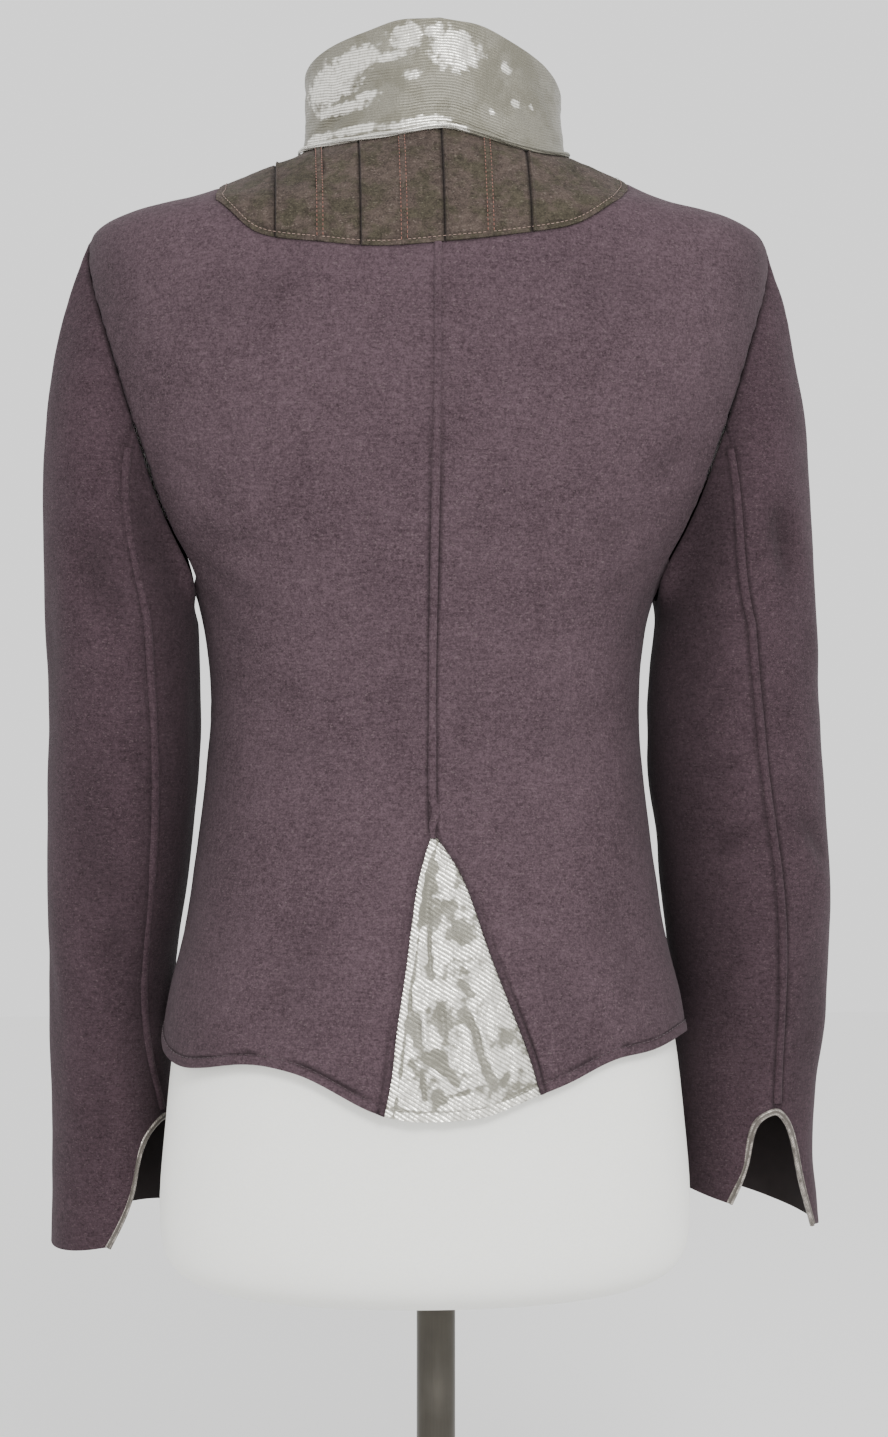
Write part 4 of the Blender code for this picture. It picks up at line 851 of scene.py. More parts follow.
def add_mesh(name, vertices, faces, finish, uv=None, crisp=50):
    """One closed mesh as an object with its faces outwards; uv is a place on the cloth for each vertex."""
    mesh = bpy.data.meshes.new(name)
    mesh.from_pydata(np.asarray(vertices).tolist(), [], faces)
    shape = bmesh.new()
    shape.from_mesh(mesh)
    bmesh.ops.recalc_face_normals(shape, faces=shape.faces)
    shape.to_mesh(mesh)
    shape.free()
    if uv is not None:
        mesh.uv_layers.new(name="Cloth")
        lay_flat(mesh, uv)
    mesh.materials.append(finish)
    mesh.shade_smooth()
    mesh.set_sharp_from_angle(angle=math.radians(crisp))
    made = bpy.data.objects.new(name, mesh)
    bpy.context.collection.objects.link(made)
    return made


def shell(name, outer, inner, finish, lining=None):
    """A thin shell of cloth between two grids of points, closed round its rim; the lining finish on its inside is a
    dark lining that is also painted shade.
    """
    rows, columns = outer.shape[:2]
    count = rows * columns
    rim = list(range(columns))
    rim += [row * columns + columns - 1 for row in range(1, rows)]
    rim += [count - 1 - column for column in range(1, columns)]
    rim += [row * columns for row in range(rows - 2, 0, -1)]
    faces = grid_faces(rows, columns)
    faces += [tuple(reversed(face)) for face in grid_faces(rows, columns, start=count)]
    faces += [(there, here, here + count, there + count) for here, there in zip(rim, rim[1:] + rim[:1])]
    uv = cloth_map(outer).reshape(-1, 2)
    vertices = np.concatenate([outer.reshape(-1, 3), inner.reshape(-1, 3)])
    made = add_mesh(name, vertices, faces, finish, np.concatenate([uv, uv]))
    if lining is not None:
        made.data.materials.append(lining)
        inside = (rows - 1) * (columns - 1)
        for face in made.data.polygons[inside:2 * inside]:
            face.material_index = 1
    return made


def paint(piece, label, values):
    """A value on every point of a piece, the same on both sides of a shell."""
    layer = piece.data.attributes.new(label, "FLOAT", "POINT")
    sides = len(piece.data.vertices) // values.size
    layer.data.foreach_set("value", np.tile(values.ravel(), sides).astype(np.float32))


def keep(piece, slot, *nodes):
    """The piece rides on the part's body, is given a finish slot and stands for CAD nodes."""
    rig.ride(piece, "root")
    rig.slot(piece, slot)
    if nodes:
        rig.replaces(piece, *nodes)
    return piece


def body_spot(angle, height):
    return body_point(angle, tape_at(height))


def sleeve_spot(side):
    """A surface(turn, height) of one sleeve."""
    def spot(turn, height):
        place = (180 - np.asarray(turn, float)) / 360
        reach = 1 + (SLEEVE_TOP - np.asarray(height, float)) / (SLEEVE_TOP - CUFFS[side].height)
        return sleeve_point(side, place, np.clip(reach, 0, 2))
    return spot


def wool_relief(points, creases, seams, seed):
    """Relief of a felted panel: its creases, the dips at its seams and a soft unevenness."""
    relief = crease_relief(points, creases, body_spot)
    for seam in seams:
        relief += seam_relief(points, seam)
    return (relief + unevenness(points, 70 * MM, 0.35 * MM, seed)
            + unevenness(points, 22 * MM, 0.10 * MM, seed + 1))


def turned_edge(points, line, width, lift):
    """Relief of an edge that is turned under and stitched: a flat band that ends in a small groove."""
    gap = along_line(points, line)[0]
    band = lift * (1 - smooth_step((gap - width * 0.82) / (width * 0.22)))
    groove = -0.6 * lift * hump(gap - width * 1.12, width * 0.16)
    return band + groove


def panel_shell(name, grid, thickness, relief, finish, sunk=None, mitre=None, shade=None):
    """A panel of the body as a thin shell; relief(points) is how far its cloth stands out, shade(points) its
    dark stitched lines and its painted shade."""
    plain = body_point(grid[..., 0], grid[..., 1])
    normals = body_normal(grid[..., 0], grid[..., 1])
    swell = relief(plain)[..., None]
    depth = normals * thickness
    if mitre is not None:
        depth[-len(mitre):, -1] = mitre * thickness
    outer = trimmed(plain)
    inner = outer - depth + normals * np.minimum(swell, 0)
    outer = outer + normals * swell
    if sunk is not None:
        outer, inner = outer + normals * sunk[..., None], inner + normals * sunk[..., None]
    piece = shell(name, outer, inner, finish)
    if shade is not None:
        paint(piece, "Seam", shade(plain))
    return piece


def shaded(points, *lines):
    """How dark or bright the cloth is along lines, each given with its Mark; the strongest of them counts."""
    return np.maximum.reduce([mark.strength * hump(along_line(points, line)[0] - mark.away, mark.width)
                              for line, mark in lines])


def side_edge(side):
    """The side seam from the hem to the armpit, and the places of the armhole's back half."""
    climb = np.linspace(tape_at(hem_height(side * 90.0)), armhole(0.0)[1], SIDE_ROWS + 1)[:-1]
    return np.column_stack([np.full(len(climb), 90.0), climb]), np.linspace(0, 0.5, ARMHOLE_STEPS // 2 + 1)


def with_band(line, fraction):
    """An upward edge with a row added at the top of the hem band."""
    return np.vstack([line[:1], line[:1] * (1 - fraction) + line[1:2] * fraction, line[1:]])


def shoulder_line(side):
    """The shoulder seam from the yoke out to the armhole, as (angle, tape) rows on the left."""
    start, stop = tape_at(YOKE_SPLINE(side * 90.0)), armhole(0.5)[1]
    return np.column_stack([np.full(SHOULDER_COLUMNS + 1, 90.0),
                            np.linspace(start, stop, SHOULDER_COLUMNS + 1)])


def armhole_seam(side, start=0.0, stop=1.0):
    """The armhole as a line of points, for dips and puckers along it."""
    return armhole_point(side, np.linspace(start, stop, 60))[0]


def back_grid(side):
    slant = godet_edge(side) * (side, 1)
    seam, climb = side_edge(side)
    right = np.vstack([seam, np.column_stack(armhole(climb))])
    count = len(right) - len(slant)
    rise = np.linspace(slant[-1][1], tape_at(YOKE_SPLINE(0.0)), count + 1)[1:]
    left = np.vstack([slant, np.column_stack([np.zeros(count), rise])])
    arc = np.array(YOKE_ANGLES, float)
    top = np.vstack([edge(arc, YOKE_SPLINE(side * arc)), shoulder_line(side)[1:]])
    across = np.linspace(slant[0][0], 90, len(top))
    bottom = edge(across, hem_height(side * across))
    fraction = HEM_BAND / (right[1][1] - right[0][1])
    return coons(bottom, top, with_band(left, fraction), with_band(right, fraction))


def front_grid(side):
    seam, climb = side_edge(side)
    right = np.vstack([seam, np.column_stack(armhole(1 - climb))])
    last = 180 + LAP_TURN
    neck = np.linspace(90, last, NECK_COLUMNS + 1)[1:]
    shoulder = shoulder_line(side)[::-1]
    neck_start = np.linspace(shoulder[-1][1], tape_at(neck_height(side * 90)), 3)[1:]
    top = np.vstack([shoulder, np.column_stack([np.full(2, 90.0), neck_start]),
                     edge(neck, neck_height(side * neck))])
    stretch = np.linspace(90, last, len(top))
    bottom = edge(stretch, hem_height(np.minimum(stretch, 180)))
    left = np.column_stack([np.full(len(right), last), np.linspace(bottom[-1][1], top[-1][1], len(right))])
    fraction = HEM_BAND / (right[1][1] - right[0][1])
    return coons(bottom, top, with_band(right, fraction), with_band(left, fraction))


def hem_line(start, stop):
    """The hem as a line of points between two angles."""
    angles = np.linspace(min(start, stop), max(start, stop), 50)
    return body_spot(angles, hem_height(angles))


def slant_line(side):
    """One side of the godet as a line of points."""
    rows = refine(godet_edge(side)[:, None], 4, 1)[:, 0]
    return body_point(rows[:, 0], rows[:, 1])


def yoke_rim():
    angles = np.linspace(-90, 90, 90)
    return body_spot(angles, YOKE_SPLINE(angles))


def side_seam(side):
    return body_spot(side * 90.0, np.linspace(0.44, 0.716, 30))


def sleeve_line(side, seam, start, stop, count):
    """A seam of a sleeve as a line of points between two reaches."""
    rows = np.linspace(start, stop, count)
    return sleeve_point(side, seam_place(side, rows, seam), rows)


def centre_seam():
    """The centre-back seam as a line of points, from the yoke to the godet."""
    tape = np.linspace(tape_at(YOKE_SPLINE(0.0)), tape_at(GODET_TOP), 40)
    return body_point(0.0, tape)


def dress_back(side, finish):
    """One back panel: hem and godet edges turned and stitched, dips at its seams."""
    grid = refine(back_grid(side), ROW_STEPS, COLUMN_STEPS, (1, GODET_ROWS + 1, SIDE_ROWS + 1),
                  (len(YOKE_ANGLES) - 1,))
    grid = grid * (side, 1)
    climb = np.linspace(0, 0.5, ARMHOLE_STEPS // 2 * ROW_STEPS + 1)
    scye = armhole_seam(side, 0, 0.5)
    seams = [centre_seam(), yoke_rim(), scye, side_seam(side)]
    slant, hem = slant_line(side), hem_line(0, side * 92)

    def relief(points):
        swell = wool_relief(points, BACK_CREASES, seams, 11 + side)
        swell += turned_edge(points, slant, GODET_TURN, GODET_LIFT)
        swell += turned_edge(points, hem, HEM_BAND, HEM_LIFT)
        return swell + pucker(points, armhole_seam(side, 0.15, 0.5), 9 * MM, 0.35 * MM, 5)

    # Dark stitched lines, with painted shade in the seam grooves, in the creases and on the sides of the body
    def shade(points):
        folds = crease_relief(points, BACK_CREASES, body_spot)
        turned = np.abs(body_normal(grid[..., 0], grid[..., 1])[..., 0])
        lines = shaded(points, (slant, GODET_STITCHED), (slant, GODET_FRAME), (hem, HEM_STITCHED),
                       (centre_seam(), CENTRE_GROOVE), (scye, ARMHOLE_GROOVE), (yoke_rim(), YOKE_GROOVE))
        return np.maximum.reduce([lines, BACK_SHADE * np.clip(-folds / BACK_DEPTH, 0, 1),
                                  SIDE_SHADE * smooth_step((turned - 0.45) / 0.5)])

    piece = panel_shell(f"back_{SIDE_NAMES[side]}_cloth", grid, WOOL_WALL, relief, finish,
                        mitre=armhole_mitre(side, climb)[0], shade=shade)
    return cloth_piece(piece, "back", "wool", f"back_{SIDE_NAMES[side]}")


def pucker(points, line, reach, depth, seed):
    """Small gathers along a seam, which fade out away from it."""
    gap, place = along_line(points, line)
    length = np.sum(np.linalg.norm(np.diff(line, axis=0), axis=1))
    draw = np.random.default_rng(seed)
    wave = sum(np.sin(2 * math.pi * place * length / (size * MM) + draw.uniform(0, 6))
               for size in (9, 13, 21))
    return depth * wave / 2 * np.exp(-gap / reach)


def dress_front(side, finish):
    """One front panel; the right one laps over the left."""
    breaks = (SHOULDER_COLUMNS, SHOULDER_COLUMNS + 2)
    grid = refine(front_grid(side), ROW_STEPS, COLUMN_STEPS, (1, SIDE_ROWS + 1), breaks)
    sunk = None
    if side == LEFT:
        across = -body_point(grid[..., 0], grid[..., 1])[..., 0]
        sunk = -LAP_DEPTH * smooth_step((across + LAP + LAP_STEP) / LAP_STEP)
        sunk = np.where(grid[..., 0] > 130, sunk, 0)[:, ::-1]
    climb = np.linspace(0.5, 0, ARMHOLE_STEPS // 2 * ROW_STEPS + 1)[::-1]
    grid = grid[:, ::-1] * (side, 1)
    ridge = body_spot(side * 90.0, np.linspace(neck_height(side * 90.0), 0.940, 12))
    seams = [armhole_seam(side, 0.5, 1), side_seam(side), ridge]
    hem = hem_line(side * 88, side * 180)
    brink = body_spot(side * (180 + LAP_TURN), np.linspace(HEM_FRONT, 0.956, 40))

    def relief(points):
        swell = wool_relief(points, FRONT_CREASES, seams, 31 + side)
        swell += turned_edge(points, hem, HEM_BAND, HEM_LIFT)
        return swell + turned_edge(points, brink, HEM_BAND, BRINK_LIFT)

    # Dark stitched lines, and painted shade in the armhole seam's groove
    def shade(points):
        return shaded(points, (hem, HEM_STITCHED), (brink, BRINK_STITCHED), (seams[0], ARMHOLE_GROOVE))

    piece = panel_shell(f"front_{SIDE_NAMES[side]}_cloth", grid, WOOL_WALL, relief, finish, sunk=sunk,
                        mitre=armhole_mitre(side, 1 - climb)[0], shade=shade)
    return cloth_piece(piece, "front", "wool", f"front_{SIDE_NAMES[side]}")


def dress_godet(finish):
    """The crushed silver triangle, with a stitched hem."""
    sides = []
    for side in (RIGHT, LEFT):
        line = godet_edge(side)
        line[-1] = line[-2] + (line[-1] - line[-2]) * GODET_FADE
        sides.append(line)
    right, left = sides
    share = np.linspace(0, 1, GODET_COLUMNS + 1)
    across = right[0][0] + (left[0][0] - right[0][0]) * share
    grid = coons(edge(across, hem_height(across)), right[-1] + (left[-1] - right[-1]) * share[:, None],
                 right, left)
    grid = refine(grid, GODET_ROW_STEPS, GODET_COLUMN_STEPS)
    slants, hem = [slant_line(LEFT), slant_line(RIGHT)], hem_line(-30, 15)

    def relief(points):
        swell = crease_relief(points, GODET_CREASES, body_spot)
        swell += crush(points, 15 * MM, 0.55 * MM, 3) + crush(points, 6 * MM, 0.2 * MM, 4)
        edges = np.maximum.reduce([hump(along_line(points, slant)[0], 5 * MM) for slant in slants])
        swell = swell * (1 - 0.8 * edges) - 0.7 * MM * edges - 0.3 * MM
        return swell + turned_edge(points, hem, HEM_BAND, BRINK_LIFT)

    piece = panel_shell("godet_cloth", grid, LAME_WALL, relief, finish)
    flat = body_point(grid[..., 0], grid[..., 1])
    # Painted highlight and shade on the silver: darker in the creases, brighter in patches, a painted highlight along
    # the left turned edge and the hem, and painted shade in the grooves beside them
    folds = crease_relief(flat, GODET_CREASES, body_spot) / GODET_SHINE_DEPTH
    shine = 0.66 + folds + unevenness(flat, 24 * MM, 0.26, 9) + unevenness(flat, 9 * MM, 0.16, 10)
    rim = shaded(flat, (slants[0], GODET_RIM), (hem, GODET_HEM_RIM))
    groove = shaded(flat, (slants[0], GODET_RIM_GROOVE), (hem, GODET_HEM_GROOVE))
    paint(piece, "Bright", np.clip(shine, 0, 1) * (1 - rim) + rim - 0.6 * groove)
    spots = np.zeros(3 * len(piece.data.vertices))
    piece.data.vertices.foreach_get("co", spots)
    lay_flat(piece.data, spots.reshape(-1, 3)[:, ::2])
    return cloth_piece(piece, "godet", "lame", "godet")


def crush(points, size, depth, seed, waves=10):
    """Sharp irregular crumpling: crossing folds with narrow ridges."""
    draw = np.random.default_rng(seed)
    total = np.zeros(points.shape[:-1])
    for _ in range(waves):
        direction = unit(draw.normal(size=3)) * math.pi / (size * draw.uniform(0.7, 1.7))
        bend = unit(draw.normal(size=3)) * math.pi / (size * 2.4)
        sway = 0.9 * np.sin(points @ bend + draw.uniform(0, 6))
        total += 1 - 2 * np.abs(np.sin(points @ direction + sway + draw.uniform(0, 6)))
    return depth * total / math.sqrt(waves)


def aside_and_height(angles, heights):
    """Points of the body as (X, height), for lines seen straight from the back."""
    return np.column_stack([body_point(angles, tape_at(heights))[..., 0], heights])


def place_on_back(aside, heights):
    """(angle, tape) of the body's back at distances aside from its middle and at heights."""
    sections = BODY_SPLINE(tape_at(heights))
    x = aside - LEAN_SPLINE(heights)
    inside = np.clip(1 - np.abs(x / sections[..., 1])**sections[..., 4], 0, 1)
    y = sections[..., 2] * inside**(1 / sections[..., 4])
    return np.degrees(np.arctan2(x, y)), tape_at(heights)


def yoke_grid():
    """The yoke's (angle, tape) grid, its columns close together at the pin tucks."""
    arc = np.array([angle for angle in YOKE_ANGLES if angle <= YOKE_CORNER], float)
    arc = np.concatenate([-arc[:0:-1], arc])
    low_line = aside_and_height(arc, YOKE_SPLINE(arc))
    ridges = [aside_and_height(np.full(NECK_COLUMNS, side * 90.0),
                               np.linspace(YOKE_SPLINE(side * 90.0), neck_height(side * 90.0), NECK_COLUMNS))
              for side in (RIGHT, LEFT)]
    neck = np.arange(-89.0, 90.0)
    high_line = np.vstack([ridges[0], aside_and_height(neck, neck_height(neck)), ridges[1][::-1]])
    edges = [tuck + move * TUCK_WIDTH / 2 for tuck in TUCKS for move in (-1, 1)]
    between = [(a + b) / 2 for a, b in zip(TUCKS, TUCKS[1:])]
    rim = list(low_line[:, 0]) + [ridge[-1, 0] for ridge in ridges]
    beyond = [spot for spot in rim if not min(edges) - TUCK_WIDTH < spot < max(edges) + TUCK_WIDTH]
    spots = np.array(sorted(TUCKS + edges + between + beyond))
    low = np.interp(spots, low_line[:, 0], low_line[:, 1])
    fan = smooth_step((np.abs(spots) - FAN_START) / FAN_WIDTH)
    share = np.linspace(0, 1, YOKE_ROWS)[:, None]
    high = np.interp(spots, high_line[:, 0], high_line[:, 1])
    heights = low + (high - low) * (1 - (1 - share)**(1 + fan))
    grid = np.stack(place_on_back(spots, heights), axis=-1)
    for column, side in ((0, RIGHT), (-1, LEFT)):
        turn = side * np.array(YOKE_ANGLES[-YOKE_ROWS:], float)
        grid[:, column] = edge(turn, YOKE_SPLINE(turn))
    return grid


def tuck_line(spot, rise):
    """A pin tuck's line of points up the yoke, at a distance from its middle."""
    heights = np.linspace(0.915, 0.999, 80)
    angles, tape = place_on_back(spot, heights)
    inside = (heights > YOKE_SPLINE(angles) + 1.0 * MM) & (heights < neck_height(angles) - 1.0 * MM)
    return body_point(angles, tape)[inside] + body_normal(angles, tape)[inside] * rise


def tuck_asides(points):
    """How far points lie to the side of each tuck, in millimetres, and whether it is a flat double one."""
    return [((points[..., 0] - tuck) / MM, number % 2 == 1) for number, tuck in enumerate(TUCKS)]


def dress_yoke(finish):
    """The speckled yoke: sharp single tucks, and flat double ones between two rows of stitches."""
    grid = yoke_grid()
    count = grid.shape[1]
    grid = refine(grid, YOKE_ROW_STEPS, YOKE_COLUMN_STEPS, (), range(count))
    rounder = tape_at(YOKE_SPLINE(grid[0, :, 0])) - grid[0, :, 1] - YOKE_LAP
    fade = np.linspace(1, 0, YOKE_ROW_STEPS + 1)[:-1, None]
    grid[:YOKE_ROW_STEPS, 1:-1, 1] += fade * rounder[None, 1:-1]
    fade = np.linspace(1, 0, len(grid))
    for column, side in ((0, RIGHT), (-1, LEFT)):
        grid[:, column] += np.outer(fade, (side * YOKE_LAP_ANGLE, -YOKE_LAP))
    rim = yoke_rim()

    def relief(points):
        swell = (unevenness(points, 40 * MM, 0.25 * MM, 21) + unevenness(points, 9 * MM, 0.10 * MM, 22)
                 + YOKE_LIFT)
        for aside, double in tuck_asides(points):
            if double:
                swell += 0.7 * MM * (smooth_step((aside + 2.3) / 0.7) - smooth_step((aside - 1.6) / 0.7))
                swell -= 0.7 * MM * (hump(aside - 2.2, 0.5) + hump(aside + 2.2, 0.5))
            else:
                swell += 1.2 * MM * hump(aside + 0.5, 0.8) - 1.2 * MM * hump(aside - 1.1, 0.5)
        swell += seam_relief(points, rim, 0.5 * MM, 0.8 * MM)
        return swell + turned_edge(points, rim, 2.6 * MM, 0.25 * MM)

    # Dark tuck and stitch lines, with painted shade in the grooves of the tucks
    def shade(points):
        tucks = [0.6 * hump(np.abs(aside) - 2.2, 0.55) if double else hump(aside - 1.0, 0.75)
                 for aside, double in tuck_asides(points)]
        return np.maximum.reduce([shaded(points, (rim, YOKE_STITCHED)), *tucks])

    piece = panel_shell("back_yoke_cloth", grid, YOKE_WALL, relief, finish, shade=shade)
    return cloth_piece(piece, "yoke", "yoke_wool", "back_yoke")


def dress_sleeve(side, kind, finish, lining):
    """The upper or the under sleeve."""
    rows = np.interp(np.linspace(0, 1, SLEEVE_ROWS), SLEEVE_SHARES, SLEEVE_REACHES)
    back, front = seam_place(side, rows, "back_seam"), seam_place(side, rows, "front_seam")
    columns = (FRONT_SEAM_STEP - BACK_SEAM_STEP) * SLEEVE_COLUMN_STEPS
    if kind == "upper":
        start, stop = back + vent_half(side, rows, "outer"), front
    else:
        start, stop = front, back + 1 - vent_half(side, rows, "inner")
        columns = ARMHOLE_STEPS * SLEEVE_COLUMN_STEPS - columns
    share = np.linspace(0, 1, columns + 1)[None]
    place = start[:, None] * (1 - share) + stop[:, None] * share
    reach = np.broadcast_to(rows[:, None], place.shape)
    outer, depth = sleeve_point(side, place, reach), sleeve_normal(side, place, reach)
    normals = depth.copy()
    depth[0] = armhole_mitre(side, place[0])[1]
    scye = armhole_seam(side)
    folds = SLEEVE_DRAPE[side] * crease_relief(outer, SLEEVE_CREASES[side], sleeve_spot(side))
    swell = (folds + seam_relief(outer, scye)
             + pucker(outer, armhole_seam(side, 0.2, 0.8), 13 * MM, 0.6 * MM, 7))
    for seam, last in (("back_seam", VENT_TOP), ("front_seam", 2)):
        swell += seam_relief(outer, sleeve_line(side, seam, 0, last, 50))
    swell += (unevenness(outer, 60 * MM, 0.5 * MM, 41 + side)
              + unevenness(outer, 20 * MM, 0.12 * MM, 43 + side))
    seam = sleeve_line(side, "back_seam", 0.1, VENT_TOP, 80)
    # Painted shade on the side of the sleeve that faces the body and in its creases, with the dark seam lines
    lines = shaded(outer, (scye, ARMHOLE_GROOVE), (seam, SLEEVE_GROOVE[side]))
    inward = INNER_SHADE * smooth_step((-side * normals[..., 0] - 0.05) / 0.75)
    dark = np.maximum.reduce([lines, inward, FOLD_SHADE * np.clip(-folds / FOLD_DEPTH, 0, 1)])
    outer = trimmed(outer)
    inner = outer - depth * WOOL_WALL + normals * np.minimum(swell, 0)[..., None]
    piece = shell(f"sleeve_{kind}_{SIDE_NAMES[side]}_cloth", outer + normals * swell[..., None], inner,
                  finish, lining)
    paint(piece, "Seam", dark)
    return cloth_piece(piece, f"{kind} sleeve", "wool", f"sleeve_{kind}_{SIDE_NAMES[side]}")


def dress_collar(finish):
    """The tall crushed collar."""
    angles = np.linspace(-COLLAR_END, COLLAR_END, COLLAR_FINE_COLUMNS)
    low, high = collar_line(angles)
    high[:, 2] += COLLAR_BROAD * hump(np.abs(angles) - COLLAR_BROAD_AT, COLLAR_BROAD_SPREAD)
    lifted = low + (0, 0, LAYER_GAP + COLLAR_LIFT)
    corner = 1 - smooth_step((COLLAR_END - np.abs(angles)) / COLLAR_CORNER)
    up = np.linspace(0, 1, COLLAR_FINE_ROWS)[:, None, None] * (1 - COLLAR_CORNER_DROP * corner)[None, :, None]
    outer = lifted[None] * (1 - up) + high[None] * up
    normals = unit(np.cross(np.gradient(outer, axis=0), np.gradient(outer, axis=1)))
    normals[0] = unit(normals[0] * (1, 1, 0))

    def spot(angle, share):
        low, high = collar_line(np.asarray(angle, float))
        return low + (high - low) * np.asarray(share, float)[:, None]

    calm = smooth_step((up[..., 0] - 0.02) / 0.14) * (1 - 0.7 * smooth_step((up[..., 0] - 0.86) / 0.1))
    swell = crease_relief(outer, COLLAR_CREASES, spot)
    swell += crush(outer, 26 * MM, 0.45 * MM, 5) + crush(outer, 9 * MM, 0.16 * MM, 6)
    swell = (swell * calm)[..., None]
    outer = outer + normals * swell
    piece = shell("collar_cloth", outer, outer - normals * COLLAR_WALL, finish)
    # Painted highlights where the collar shines
    shine = np.zeros(outer.shape[:2])
    for patch in COLLAR_PATCHES:
        aside = (angles[None] - patch.angle) / patch.half_angle
        above = (up[..., 0] - patch.share) / patch.half_share
        shine = np.maximum(shine, patch.strength * np.exp(-aside**2 - above**2))
    paint(piece, "Bright", shine)
    return cloth_piece(piece, "collar", "lame", "collar")


def dress_roll(finish):
    """The fold along the collar's seam, a slightly uneven bead."""
    angles = np.linspace(-ROLL_END, ROLL_END, 240)
    low, high = collar_line(angles)
    stand = unit(np.cross(high - low, np.gradient(low, axis=0)))
    slope = body_normal(angles, tape_at(neck_height(angles)))
    clear = COLLAR_ROLL_RADIUS + LAYER_GAP
    path = low + clear * (stand + slope) / (1 + np.sum(stand * slope, axis=-1, keepdims=True))
    along = unit(np.gradient(path, axis=0))
    thick = 1 + 0.12 * np.sin(np.arange(240) * 0.37) + 0.10 * np.sin(np.arange(240) * 0.113 + 2)
    thick = thick * (1 - 0.5 * hump(np.abs(angles) - 90, 24))
    # Painted highlight along the part of the roll that catches the light
    shine = 0.95 * (smooth_step((angles + 22) / 16) * (1 - smooth_step((angles - 70) / 20)))[:, None]
    piece = bead("collar_roll_cloth", path, stand, unit(np.cross(along, stand)), COLLAR_ROLL_RADIUS * thick,
                 finish, shine=shine)
    return keep(piece, "lame", "collar_roll")


def tube(name, rings, finish, uv=None, crisp=50):
    """A solid through closed rings of points, with a flat cap at each end."""
    rows, sides = rings.shape[:2]
    faces = grid_faces(rows, sides, closed=True)
    faces.append(tuple(range(sides))[::-1])
    faces.append(tuple((rows - 1) * sides + i for i in range(sides)))
    return add_mesh(name, rings.reshape(-1, 3), faces, finish, uv, crisp)


def bead(name, path, across, out, radius, finish, sides=12, groove=0.0, flatten=1.0, shine=0.5):
    """A rounded bead along a path; groove presses a stitched channel into it, shine is its painted highlight, less in
    the channel as painted shade.
    """
    turns = np.arange(sides) * 2 * math.pi / sides
    channel = hump(np.sin(turns) - 1, CHANNEL_WIDTH)
    radius = np.broadcast_to(np.asarray(radius, float), len(path))
    rings = [path + (across * math.cos(turn) + out * flatten * math.sin(turn)) * (radius * press)[:, None]
             for turn, press in zip(turns, 1 - groove * channel)]
    points = np.stack(rings, axis=1)
    length = np.concatenate([[0], np.cumsum(np.linalg.norm(np.diff(path, axis=0), axis=1))])
    uv = np.stack(np.broadcast_arrays(length[:, None], turns[None] * np.mean(radius)), axis=-1)
    made = tube(name, points, finish, uv.reshape(-1, 2), crisp=70)
    paint(made, "Bright", shine * np.broadcast_to(1 - CHANNEL_SHADE * channel, points.shape[:2]))
    return made


def vent_path(side, count=14):
    """The vent's edge from tip to tip over its arch: points, directions outwards and into the vent."""
    down = np.linspace(0, 1, count)**1.8
    reach = VENT_TOP + (2 - VENT_TOP) * down
    seam = seam_place(side, reach, "back_seam")
    legs = [seam + vent_half(side, reach, "outer"), seam - vent_half(side, reach, "inner")]
    place = np.concatenate([legs[0][:0:-1], legs[1]])
    reach = np.concatenate([reach[:0:-1], reach])
    path = sleeve_point(side, place, reach)
    out = sleeve_normal(side, place, reach)
    into = -unit(np.cross(out, unit(np.gradient(path, axis=0)))) * side
    return path, out, into


def dress_binding(side, finish):
    """The vent's binding: a folded silver edge with a stitched channel down its middle."""
    path, out, into = vent_path(side, 40)
    path = path + into * (BINDING_WIDTH / 2 - BINDING_WRAP) - out * WOOL_WALL / 2
    piece = bead(f"cuff_binding_{SIDE_NAMES[side]}_cloth", path, into, out, BINDING_WIDTH / 2, finish,
                 sides=28, groove=0.42, flatten=BINDING_THICK / BINDING_WIDTH)
    return keep(piece, "lame", f"cuff_binding_{SIDE_NAMES[side]}")


def welt(name, path, across, out, finish):
    """A raised welt with a groove along each side of its crest."""
    step = np.arange(len(path))
    sway = (1 + 0.07 * np.sin(step * 0.5) + 0.05 * np.sin(step * 0.21 + 1))[:, None]
    rings = [path + across * (WELT_WIDTH * x) + out * (WELT_HEIGHT * y * (sway if y > 0 else 1.0))
             for x, y in WELT_PROFILE]
    return tube(name, np.stack(rings, axis=1), finish, crisp=80)


def dress_back_seam(finish):
    tape = np.linspace(tape_at(YOKE_SPLINE(0.0)) - WELT_HEIGHT, tape_at(GODET_TOP - WELT_OVER), 160)
    path, out = body_point(0.0, tape), body_normal(0.0, tape)
    path[:, 0] += JOG_ASIDE * hump(path[:, 2] - JOG_HEIGHT, JOG_LENGTH)
    piece = welt("back_seam_welt_cloth", path - out * 0.2 * MM, np.tile((1.0, 0, 0), (len(path), 1)), out,
                 finish)
    return keep(piece, "wool", "back_seam_welt")


def dress_sleeve_seam(side, finish):
    rows = np.linspace(0.10, VENT_TOP - 0.012, 170)
    place = seam_place(side, rows, "back_seam")
    path, out = sleeve_point(side, place, rows), sleeve_normal(side, place, rows)
    spot = SLEEVE_DRAPE[side] * crease_relief(path, SLEEVE_CREASES[side], sleeve_spot(side))
    across = unit(np.cross(out, np.gradient(path, axis=0)))
    path = path + out * (spot - 0.35 * MM)[:, None]
    piece = welt(f"sleeve_seam_{SIDE_NAMES[side]}_cloth", path, across * SLEEVE_WELT, out, finish)
    return keep(piece, "wool", f"sleeve_seam_{SIDE_NAMES[side]}")


def thread_points(line, out, pitch):
    """Middles of stitches along a line, with the directions along it and out of the cloth."""
    steps = np.concatenate([[0], np.cumsum(np.linalg.norm(np.diff(line, axis=0), axis=1))])
    at = np.arange(pitch / 2, steps[-1], pitch)

    def at_places(places, rows):
        return np.stack([np.interp(places, steps, column) for column in rows.T], axis=-1)

    along = unit(at_places(at + pitch / 4, line) - at_places(at - pitch / 4, line))
    return at_places(at, line), along, unit(at_places(at, out))


